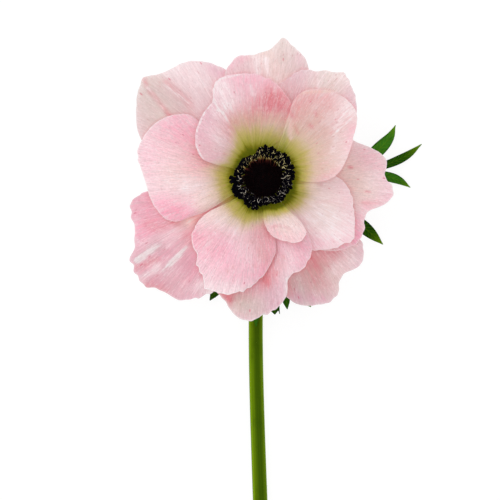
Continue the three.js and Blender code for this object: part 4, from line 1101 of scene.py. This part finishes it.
def frilled(petal, across, seed):
    """A petal's outline as a smooth curve with small uneven waves, which die down towards its foot."""
    rim = smooth_curve(petal["rim"], RIM_STEPS)
    uneven = sum(np.sin(rate * across + rate * seed) for rate in FRILL_RATES)
    uneven *= np.sin(math.pi * across) * (1 + FRILL_SWELL * np.sin(FRILL_SWELL_RATE * across + seed))
    return rim * (1 - petal["frill"] * uneven / np.hypot(*rim.T))[:, None]


def petal_mesh(petal, seed):
    """A thin petal that fans out from its foot to its outline, with its colour strokes as point values."""
    walked = walked_along(petal["rim"])
    steps = np.linspace(0, len(walked) - 1, (len(walked) - 1) * RIM_STEPS + 1)
    across = np.interp(steps, np.arange(len(walked)), walked / walked[-1])[None, :]
    rim = frilled(petal, across[0], seed)
    outwards = (1 - (1 - np.linspace(0, 1, SKIN_ROWS + 1)) ** ROW_CROWDING)[:, None]
    spread = 2 * steps / steps[-1] - 1
    turn = math.radians(petal["aim"]) + CLAW_HALF_WIDTH / CLAW_RADIUS * spread
    x = CLAW_RADIUS * np.cos(turn) * (1 - outwards) + rim[:, 0] * outwards
    y = CLAW_RADIUS * np.sin(turn) * (1 - outwards) + rim[:, 1] * outwards
    middle = petal_height(petal, x, y, outwards, across) + 0.5 * PETAL_THICKNESS
    middle += fine_relief(petal, x, y, outwards, across, seed)
    flank = np.clip(np.sin(math.pi * across) * FLANK_THINNING, FLANK_LEAST, 1)
    thinning = np.clip((1 - outwards) * EDGE_THINNING, 0, 1) ** 0.5 * flank
    fan = np.stack(np.broadcast_arrays(across * walked[-1], outwards * PETAL_REACH), 2)
    values = petal_values(petal, x, y, outwards)
    values["seed"] = np.full(x.shape, PATTERN_SHIFT * seed)
    points = sheet_points(x, y, middle, EDGE_THICKNESS, SKIN_THICKNESS, thinning)
    both = {title: np.tile(value.ravel(), 2) for title, value in values.items()}
    both["under"] = np.repeat([1.0, 0.0], x.size)
    faces = sheet_faces(SKIN_ROWS, len(steps) - 1)
    uv = ("fan", np.tile(fan.reshape(-1, 2), (2, 1)))
    return flower_mesh(petal["name"], points, faces, uv, both)


def petal_values(petal, x, y, outwards):
    """Colour strokes, the halo round the foot, painted shade where other petals lie behind this one, and
    painted contact shadow beside the rims of those that lie on it.
    """
    values = {kind: np.full(x.shape, petal["wash"].get(kind, 0.0)) for kind in STROKE_KINDS}
    for kind, strokes in petal["strokes"].items():
        for width, strength, *path in strokes:
            for start, end in zip(path, path[1:]):
                values[kind] += strength * np.exp(-distance_to_line(x, y, start, end) ** 2 / (2 * width**2))
    directions, dark_ends, reaches = zip(*FOOT_REACH)
    angle = np.degrees(np.arctan2(y, x)) % 360
    dark_end = np.interp(angle, directions, dark_ends)
    reach = np.interp(angle, directions, reaches)
    values["halo"] = (np.hypot(x, y) - dark_end) / (reach - dark_end) + values.pop("bare")
    # Painted shade where another petal lies behind this one
    covered = np.zeros(x.shape)
    nearest = np.full(x.shape, FAR_AWAY)
    for other in PETALS:
        if other["level"] < petal["level"]:
            covered = np.maximum(covered, inside(x, y, other["rim"]))
        # Painted contact shadow beside the rims of petals that lie on this one
        elif other["level"] > petal["level"]:
            rim = smooth_curve(other["rim"], CONTACT_SHADOW_STEPS)
            for start, end in zip(rim, rim[1:]):
                nearest = np.minimum(nearest, distance_to_line(x, y, start, end))
    values["covered"] = covered
    values["contact"] = np.exp(-nearest**2 / (2 * CONTACT_SHADOW_WIDTH**2))
    values["crisp"] = np.full(x.shape, petal.get("crisp", 1.0))
    # Painted highlight along the edge
    pale = np.clip((outwards - EDGE_HIGHLIGHT_START) / EDGE_HIGHLIGHT_FADE, 0, 1)
    values["pale_edge"] = EDGE_HIGHLIGHT * petal["pale_rim"] * pale + 0 * x
    return values


def stem_ring(x, y, z, up, radius):
    """Points round the stem, which runs square to up and to the X axis, with its low lengthwise ridges."""
    turn = np.arange(STEM_SIDES) / STEM_SIDES * math.tau
    ridges = np.sin(STEM_RIDGES * turn + STEM_RIDGE_TWIST * y)
    ridged = radius * STEM_ROUNDING * (1 + STEM_RIDGE_HEIGHT * ridges)
    sideways = np.outer(STEM_WIDEN * ridged * np.sin(turn), (1, 0, 0))
    return np.array([x, y, z]) + np.outer(ridged * np.cos(turn), up) + sideways


def stem_mesh():
    """The stem from its cut end along the surface, up its bend, and the receptacle on top of it."""
    to_flat = math.cos(math.pi / STEM_SOLID_SIDES)
    drift = smooth_curve(STEM_DRIFT, STEM_STEPS)
    behind = drift[drift[:, 0] > BEND_RADIUS][::-1]
    rings = []
    pith = []
    cut_x, cut_height = behind[0, 1], STEM_RADIUS_CUT * to_flat
    for share in CUT_RINGS:
        y = CUT_HOLLOW * (1 - share) - STEM_LENGTH_BEHIND
        rings.append(stem_ring(cut_x, y, cut_height, (0, 0, 1), STEM_RADIUS_CUT * share))
        pith.append(1 if share <= PITH_SHARE else CUT_BARK_PITH)
    for back, x in behind[1:]:
        radius = STEM_RADIUS_TOP + (STEM_RADIUS_CUT - STEM_RADIUS_TOP) * back / STEM_LENGTH_BEHIND
        rings.append(stem_ring(x, -back, radius * to_flat, (0, 0, 1), radius))
    bend_height = STEM_RADIUS_TOP * to_flat + BEND_RADIUS
    for turned in np.linspace(0, 1, BEND_STEPS + 1):
        sine, cosine = math.sin(turned * math.pi / 2), math.cos(turned * math.pi / 2)
        y = BEND_RADIUS * sine - BEND_RADIUS
        z = bend_height - BEND_RADIUS * cosine
        rings.append(stem_ring(behind[-1, 1] * (1 - turned), y, z, (0, -sine, cosine), STEM_RADIUS_TOP))
    for radius, z in smooth_curve(RECEPTACLE_PROFILE, RECEPTACLE_STEPS):
        rings.append(stem_ring(0, 0, z, (0, -1, 0), radius))
    pith += [0] * (len(rings) - len(pith))
    walked = walked_along([ring.mean(0) for ring in rings])
    turn = np.arange(STEM_SIDES) / STEM_SIDES - STEM_SHADE_LINE_SHIFT
    folded = np.abs(2 * (turn % 1) - 1)
    uv = np.stack(np.broadcast_arrays(folded[None, :], walked[:, None]), 2).reshape(-1, 2)
    faces = tube_faces(STEM_SIDES, len(rings))
    return flower_mesh("stem", np.vstack(rings), faces, ("length", uv), {"pith": np.repeat(pith, STEM_SIDES)})


def dome_mesh():
    """The body of the dome, under its styles."""
    turn = np.arange(DOME_SIDES) / DOME_SIDES * math.tau
    rings = []
    for radius, height in smooth_curve(DOME_PROFILE, DOME_STEPS):
        shift = DOME_SHIFT_X * min(1, height / DOME_SHIFT_HEIGHT)
        ring = [shift + radius * np.cos(turn), radius * np.sin(turn), np.full(DOME_SIDES, SEAT + height)]
        rings.append(np.stack(ring, 1))
    return flower_mesh("dome", np.vstack(rings), tube_faces(DOME_SIDES, len(rings)))


def leaflet_width(leaflet, along):
    if "widest" not in leaflet:
        return np.full(along.shape, float(leaflet["width"]))
    swell = np.sin(math.pi * along ** (math.log(0.5) / math.log(leaflet["widest"])))  # 1 at the widest place
    share = np.maximum(swell, LEAFLET_ROOT_SHARE * (1 - along))
    return np.maximum(LEAFLET_TIP_WIDTH, leaflet["width"] * share)


def leaflet_points(leaflet):
    """One leaflet: its points, its UVs (side, millimetres along it), how yellow its tip is, and its tone."""
    midrib = smooth_curve(leaflet["midrib"], LEAFLET_ROWS)
    walked = walked_along(midrib)
    along = np.linspace(0, 1, LEAFLET_ROWS + 1)
    length = along * walked[-1]
    center = np.stack([np.interp(length, walked, midrib[:, axis]) for axis in range(3)], 1)
    ahead = np.gradient(center[:, :2], axis=0)
    ahead /= np.linalg.norm(ahead, axis=1)[:, None]
    side = np.linspace(-1, 1, LEAFLET_COLUMNS + 1)
    offset = -0.5 * np.outer(leaflet_width(leaflet, along), side)
    crease = LEAFLET_CREASE * np.outer(np.sin(math.pi * along), np.abs(side) ** LEAFLET_CREASE_CURVE)
    twist = LEAFLET_TWIST * np.outer(np.sin(LEAFLET_TWIST_RATE * length), side * np.abs(side))
    x = center[:, :1] + ahead[:, 1:] * offset
    y = center[:, 1:2] - ahead[:, :1] * offset
    middle = center[:, 2:] + crease + twist + LEAF_LIFT
    thinning = np.outer(np.minimum(1, LEAFLET_TIP_THINNING * (1 - along)), 1 - side**4)
    points = sheet_points(x, y, middle, LEAF_EDGE, LEAF_SKIN, thinning)
    uv = np.stack(np.broadcast_arrays(side[None, :], length[:, None]), 2).reshape(-1, 2)
    lime = leaflet.get("lime", 1 if "widest" in leaflet else 0)
    tip = lime * np.repeat(np.clip(along * 5 - 4, 0, 1), len(side))  # over its last fifth
    tone = np.full(len(points), float(leaflet.get("tone", LEAF_TONE)))
    return points, np.tile(uv, (2, 1)), np.tile(tip, 2), tone


def leaf_mesh(name, leaflets):
    """All leaflets of a leaf as closed sheets in one mesh."""
    faces = np.array(sheet_faces(LEAFLET_ROWS, LEAFLET_COLUMNS))
    made = [leaflet_points(leaflet) for leaflet in leaflets]
    count = len(made[0][0])
    all_faces = np.vstack([faces + count * index for index in range(len(made))]).tolist()
    points, uvs, tips, tones = (np.concatenate(values) for values in zip(*made))
    return flower_mesh(name, points, all_faces, ("blade", uvs), {"tip": tips, "tone": tones})


def fringe_mesh():
    """Thin filaments that bend in over the dome, mostly on its upper side."""
    random = np.random.default_rng(FRINGE_SEED)
    share = np.linspace(0, 1, FRINGE_STEPS + 1)
    section = np.arange(FRINGE_SIDES) / FRINGE_SIDES * math.tau
    points = []
    faces = []
    for _ in range(FRINGE_COUNT):
        turn = math.radians(random.normal(*FRINGE_DIRECTION)) + FRINGE_SWAY * random.uniform(-1, 1) * share
        start, end = random.uniform(*FRINGE_START), random.uniform(*FRINGE_END)
        reach = start + (end - start) * share
        height = FRINGE_HEIGHT + random.uniform(*FRINGE_HEIGHT_STRAY)
        height = height + FRINGE_RISE * np.sin(0.5 * math.pi * share)
        faces += tube_faces(FRINGE_SIDES, FRINGE_STEPS + 1, len(points))
        for at, direction, out, up in zip(share, turn, reach, SEAT + height):
            center = np.array([out * math.cos(direction), out * math.sin(direction), up])
            side = (-math.sin(direction), math.cos(direction), 0)
            ring = np.outer(np.cos(section), side) + np.outer(np.sin(section), (0, 0, 1))
            taper = FRINGE_THICK_END + (FRINGE_THIN_END - FRINGE_THICK_END) * at
            points.extend(center + FRINGE_RADIUS * taper * ring)
    reached = np.tile(np.repeat(share, FRINGE_SIDES), FRINGE_COUNT)
    return flower_mesh("stamens_fringe", points, faces, None, {"reach": reached})


class Growth(Graph):
    """A geometry tree with named inputs, run once on a mesh and kept as a plain mesh."""

    def __init__(self, name, inputs):
        tree = bpy.data.node_groups.new(name, "GeometryNodeTree")
        tree.interface.new_socket("Mesh", in_out="INPUT", socket_type="NodeSocketGeometry")
        tree.interface.new_socket("Mesh", in_out="OUTPUT", socket_type="NodeSocketGeometry")
        self.values = {}
        for title, value in inputs.items():
            kind = "NodeSocketInt" if isinstance(value, int) else "NodeSocketFloat"
            socket = tree.interface.new_socket(title, in_out="INPUT", socket_type=kind)
            self.values[socket.identifier] = value
        super().__init__(tree)
        self.entry = tree.nodes.new("NodeGroupInput")

    def given(self, title):
        """One of the named inputs."""
        return Wire(self, self.entry.outputs[title])

    def random(self, low, high, seed):
        sockets = {"Min": low, "Max": high, "Seed": seed}
        return self.node("FunctionNodeRandomValue", {"data_type": "FLOAT"}, sockets, output="Value")

    def round_axis(self, turn, reach, height):
        """A place in a direction from the flower's axis, so far out and so high over the receptacle."""
        return self.vector(FLOWER_X * MM + turn.cos() * reach, FLOWER_Y * MM + turn.sin() * reach,
                           SEAT * MM + height)

    def bow(self, start, middle, end, steps):
        """A curve that leaves its start towards the middle point and reaches its end from there."""
        sockets = {"Resolution": steps, "Start": start, "Middle": middle, "End": end}
        return self.node("GeometryNodeCurveQuadraticBezier", sockets=sockets)

    def tube(self, path, radius, sides):
        sockets = {"Resolution": sides, "Radius": radius}
        section = self.node("GeometryNodeCurvePrimitiveCircle", sockets=sockets)
        sockets = {"Curve": path, "Profile Curve": section, "Fill Caps": True}
        return self.node("GeometryNodeCurveToMesh", sockets=sockets)

    def grown(self, name, instances, finish, base):
        """Realizes the instances, gives them their finish, and returns the mesh that a modifier makes."""
        real = self.node("GeometryNodeRealizeInstances", sockets={0: instances})
        dressed = self.node("GeometryNodeSetMaterial", sockets={"Geometry": real, "Material": finish})
        leave = self.tree.nodes.new("NodeGroupOutput")
        self.tree.links.new(dressed.socket, leave.inputs[0])
        host = bpy.data.objects.new(name, base)
        bpy.context.scene.collection.objects.link(host)
        modifier = host.modifiers.new("growth", "NODES")
        modifier.node_group = self.tree
        for identifier, value in self.values.items():
            modifier[identifier] = value
        made = bpy.data.meshes.new_from_object(host.evaluated_get(bpy.context.evaluated_depsgraph_get()))
        made.name = name
        bpy.data.objects.remove(host)
        made.shade_smooth()
        return made


def tufts(name, base, finish, inputs):
    """Short tapering hairs or styles on a mesh, each leaning a little its own way."""
    growth = Growth(name, inputs)
    along, height = growth.axes(growth.node("GeometryNodeInputPosition"), "YZ")
    allowed = (along > growth.given("Nearest")) * (height > growth.given("Lowest"))
    spread = {"Mesh": growth.given("Mesh"), "Density": growth.given("Density"), "Seed": growth.given("Seed"),
              "Selection": allowed}
    points = growth.node("GeometryNodeDistributePointsOnFaces", sockets=spread, output="Points")
    facing = Wire(growth, points.socket.node.outputs["Rotation"])
    lean = growth.given("Lean")
    turned = growth.vector(growth.random(-1.0, 1.0, 1) * lean, growth.random(-1.0, 1.0, 2) * lean,
                           growth.random(0.0, HAIR_SPIN, 3))
    rotation = growth.node("FunctionNodeRotateRotation", {"rotation_space": "LOCAL"},
                           {"Rotation": facing, "Rotate By": turned})
    cone = growth.node("GeometryNodeMeshCone", sockets={
        "Vertices": growth.given("Sides"), "Side Segments": growth.given("Segments"),
        "Radius Top": growth.given("Tip radius"), "Radius Bottom": growth.given("Foot radius"),
        "Depth": growth.given("Length")})
    sockets = {"Points": points, "Instance": cone, "Rotation": rotation,
               "Scale": growth.vector(1.0, 1.0, growth.random(*HAIR_STRETCH, 4))}
    instances = growth.node("GeometryNodeInstanceOnPoints", sockets=sockets)
    return growth.grown(name, instances, finish, base)


def stamens(part, finish):
    """Anthers, filaments or pollen seams. All share one rule, so each anther sits on its filament."""
    growth = Growth("stamens_" + part, STAMENS)
    seed = growth.given("Seed")
    index = growth.node("GeometryNodeInputIndex")
    count = growth.given("Count")
    turn = index * GOLDEN_TURN + growth.random(-TURN_STRAY, TURN_STRAY, seed)
    row = ((index / count) ** ROW_CLOSING + growth.random(-ROW_STRAY, ROW_STRAY, seed + 1)).held()
    share = (turn / math.tau).fraction()
    outline = growth.curve([(at, reach / RING_SCALE) for at, reach in RING_OUTLINE], share)
    inner = growth.given("Inner reach")
    reach = inner + (outline * (RING_SCALE * MM) - inner) * row
    rise = growth.given("Inner rise") + (growth.given("Outer rise") - growth.given("Inner rise")) * row
    rise = rise + growth.random(-RISE_STRAY, RISE_STRAY, seed + 2)
    if part == "anthers":
        place, sockets = anthers(growth, turn, reach, rise)
    elif part == "filaments":
        place, sockets = filaments(growth, turn, reach, rise)
    else:
        place, sockets = pollen(growth, turn, reach, rise)
        strayed = row + growth.random(0.0, SEAM_STRAY, seed + 12)
        sockets["Selection"] = growth.curve(SEAM_REACH, share) > strayed
    points = growth.node("GeometryNodePoints", sockets={"Count": count, "Position": place})
    instances = growth.node("GeometryNodeInstanceOnPoints", sockets={"Points": points, **sockets})
    return growth.grown("stamens_" + part, instances, finish, bpy.data.meshes.new("seedbed"))


def tilted(growth, turn, most, seed):
    """A turn about the upright axis, with a random lean about every axis."""
    leans = [growth.random(-lean, lean, seed + number) for number, lean in enumerate(most)]
    return growth.vector(leans[0], leans[1], turn + leans[2])


def anthers(growth, turn, reach, rise):
    """On each filament's tip, two plump lobes side by side, turned and swollen a little their own way."""
    seed = growth.given("Seed")
    length, width = growth.given("Anther length"), growth.given("Anther width")
    lobe = growth.node("GeometryNodeMeshUVSphere", sockets={"Segments": 8, "Rings": 6, "Radius": 0.5})
    pair = []
    for sideways in (-LOBE_OFFSET, LOBE_OFFSET):
        moved = {"Geometry": lobe, "Translation": growth.vector(0.0, width * sideways, 0.0),
                 "Rotation": growth.vector(0.0, 0.0, LOBE_SPLAY * sideways),
                 "Scale": growth.vector(length, width * LOBE_WIDTH, width * LOBE_HEIGHT)}
        pair.append(growth.node("GeometryNodeTransform", sockets=moved))
    shape = growth.node("GeometryNodeJoinGeometry", sockets={0: pair[0]})
    growth.tree.links.new(pair[1].socket, shape.socket.node.inputs[0])
    swell = growth.random(*ANTHER_SWELL, seed + 6)
    sockets = {"Instance": shape, "Rotation": tilted(growth, turn, ANTHER_TILT, seed + 3),
               "Scale": growth.vector(swell, swell, swell)}
    return growth.round_axis(turn, reach, rise), sockets


def pollen(growth, turn, reach, rise):
    """On top of each anther, the pale curved line along which it opens."""
    seed = growth.given("Seed")
    end = growth.given("Anther length") * SEAM_HALF_LENGTH
    middle = growth.vector(y=growth.given("Seam bend") * 2)
    path = growth.bow(growth.vector(end * -1), middle, growth.vector(end), steps=6)
    stretch = growth.random(*SEAM_STRETCH, seed + 10)
    curl = growth.random(-SEAM_CURL, SEAM_CURL, seed + 11)
    sockets = {"Instance": growth.tube(path, growth.given("Seam radius"), sides=5),
               "Rotation": tilted(growth, turn, SEAM_TILT, seed + 7),
               "Scale": growth.vector(stretch, curl, 1.0)}
    return growth.round_axis(turn, reach, rise + growth.given("Anther width") * SEAM_LIFT), sockets


def filaments(growth, turn, reach, rise):
    """From the ring's root to each anther, a thread that goes up first and then out."""
    root_reach, root_height = FILAMENT_ROOT_REACH * MM, FILAMENT_ROOT_HEIGHT * MM
    path = growth.bow((0, 0, 0), FILAMENT_BOW, (1, 0, 1), steps=7)
    sockets = {"Instance": growth.tube(path, growth.given("Filament radius"), sides=6),
               "Rotation": growth.vector(z=turn),
               "Scale": growth.vector(reach - root_reach, rise, rise - root_height)}
    return growth.round_axis(turn, root_reach, root_height), sockets


def look_down():
    """The camera of the photograph: straight down, its top towards +Y."""
    data = bpy.data.cameras.new("camera")
    data.sensor_width = SENSOR
    data.lens = SENSOR * VIEW_DISTANCE / VIEW_WIDTH
    data.clip_end = VIEW_END
    camera = bpy.data.objects.new("camera", data)
    camera.location = ((FLOWER_X + VIEW_X) * MM, (FLOWER_Y + VIEW_Y) * MM, (VIEW_HEIGHT + VIEW_DISTANCE) * MM)
    bpy.context.scene.collection.objects.link(camera)
    bpy.context.scene.camera = camera


def floor():
    """A plain white surface that glows a little, so that shadows on it stay faint."""
    corners = [(-1, -1), (1, -1), (1, 1), (-1, 1)]
    mesh = bpy.data.meshes.new("floor")
    points = [(FLOOR_HALF * x, FLOOR_HALF * y, -FLOOR_DROP) for x, y in corners]
    mesh.from_pydata(points, [], [(0, 1, 2, 3)])
    finish = Finish("floor_paper")
    grain = finish.noise(finish.place(), scale=40, detail=2)
    finish.surface({
        "Base Color": finish.mix(grain, FLOOR_GREY, FLOOR_GRAIN), "Roughness": 0.9,
        "Emission Color": WHITE, "Emission Strength": FLOOR_GLOW, "Specular IOR Level": 0.0,
    })
    mesh.materials.append(finish.material)
    made = bpy.data.objects.new("floor", mesh)
    bpy.context.scene.collection.objects.link(made)


def window_light():
    """A soft square lamp at the upper left that faces the flower."""
    data = bpy.data.lights.new("window", "AREA")
    data.size = LAMP_SIZE
    data.energy = LAMP_POWER
    made = bpy.data.objects.new("window", data)
    made.location = LAMP_PLACE
    aim = np.array([FLOWER_X * MM, FLOWER_Y * MM, LAMP_AIM_HEIGHT]) - np.array(LAMP_PLACE)
    made.rotation_mode = "QUATERNION"
    made.rotation_quaternion = Vector(aim).to_track_quat("-Z", "Y")
    bpy.context.scene.collection.objects.link(made)


def sky_light():
    """Even white light from all round."""
    world = bpy.data.worlds.new("studio")
    bpy.context.scene.world = world
    world.use_nodes = True
    background = world.node_tree.nodes["Background"]
    background.inputs["Color"].default_value = WHITE
    background.inputs["Strength"].default_value = SKY_STRENGTH
    bpy.context.scene.view_settings.view_transform = "Standard"


look_down()
floor()
sky_light()
window_light()

petal_skin = petal_finish()
for number, petal in enumerate(PETALS):
    piece(petal["name"] + "_skin", petal_mesh(petal, number + 1), petal_skin, petal["name"])

leaf_skin = leaf_finish()
for name, leaflets in LEAVES.items():
    piece(name + "_blade", leaf_mesh(name, leaflets), leaf_skin, name)

stem_skin = stem_finish()
stem_down = mottled_finish("stem_down", DOWN, STEM_LIME, scale=900, roughness=0.6, depth=0.00002)
stem = stem_mesh()
down = tufts("stem_down", stem, stem_down, DOWN_HAIRS)
piece("stem_skin", stem, stem_skin, "stem")
piece("stem_down", down, stem_down, "stem")

dome_skin = mottled_finish("dome_skin", DOME_BLACK, DOME_BROWN, scale=1500, roughness=0.5, depth=0.00006,
                           edges=(0.5, 0.9), shine=0.03)
dome = dome_mesh()
styles = tufts("dome_styles", dome, dome_skin, DOME_STYLES)
piece("dome_body", dome, dome_skin, "dome")
piece("dome_styles", styles, dome_skin, "dome")

stamen_skins = {
    "anthers": mottled_finish("anther_skin", ANTHER_BLACK, ANTHER_NAVY, scale=2600, roughness=0.4,
                              depth=0.00008, edges=(0.45, 0.75), shine=0.02),
    "filaments": mottled_finish("filament_skin", FILAMENT_DARK, FILAMENT_BROWN, scale=700, roughness=0.5,
                                depth=0.00002),
    "pollen": pollen_finish(),
}
for part, skin in stamen_skins.items():
    piece("stamens_" + part, stamens(part, skin), skin, "stamens")
piece("stamens_fringe", fringe_mesh(), fringe_finish(), "stamens")
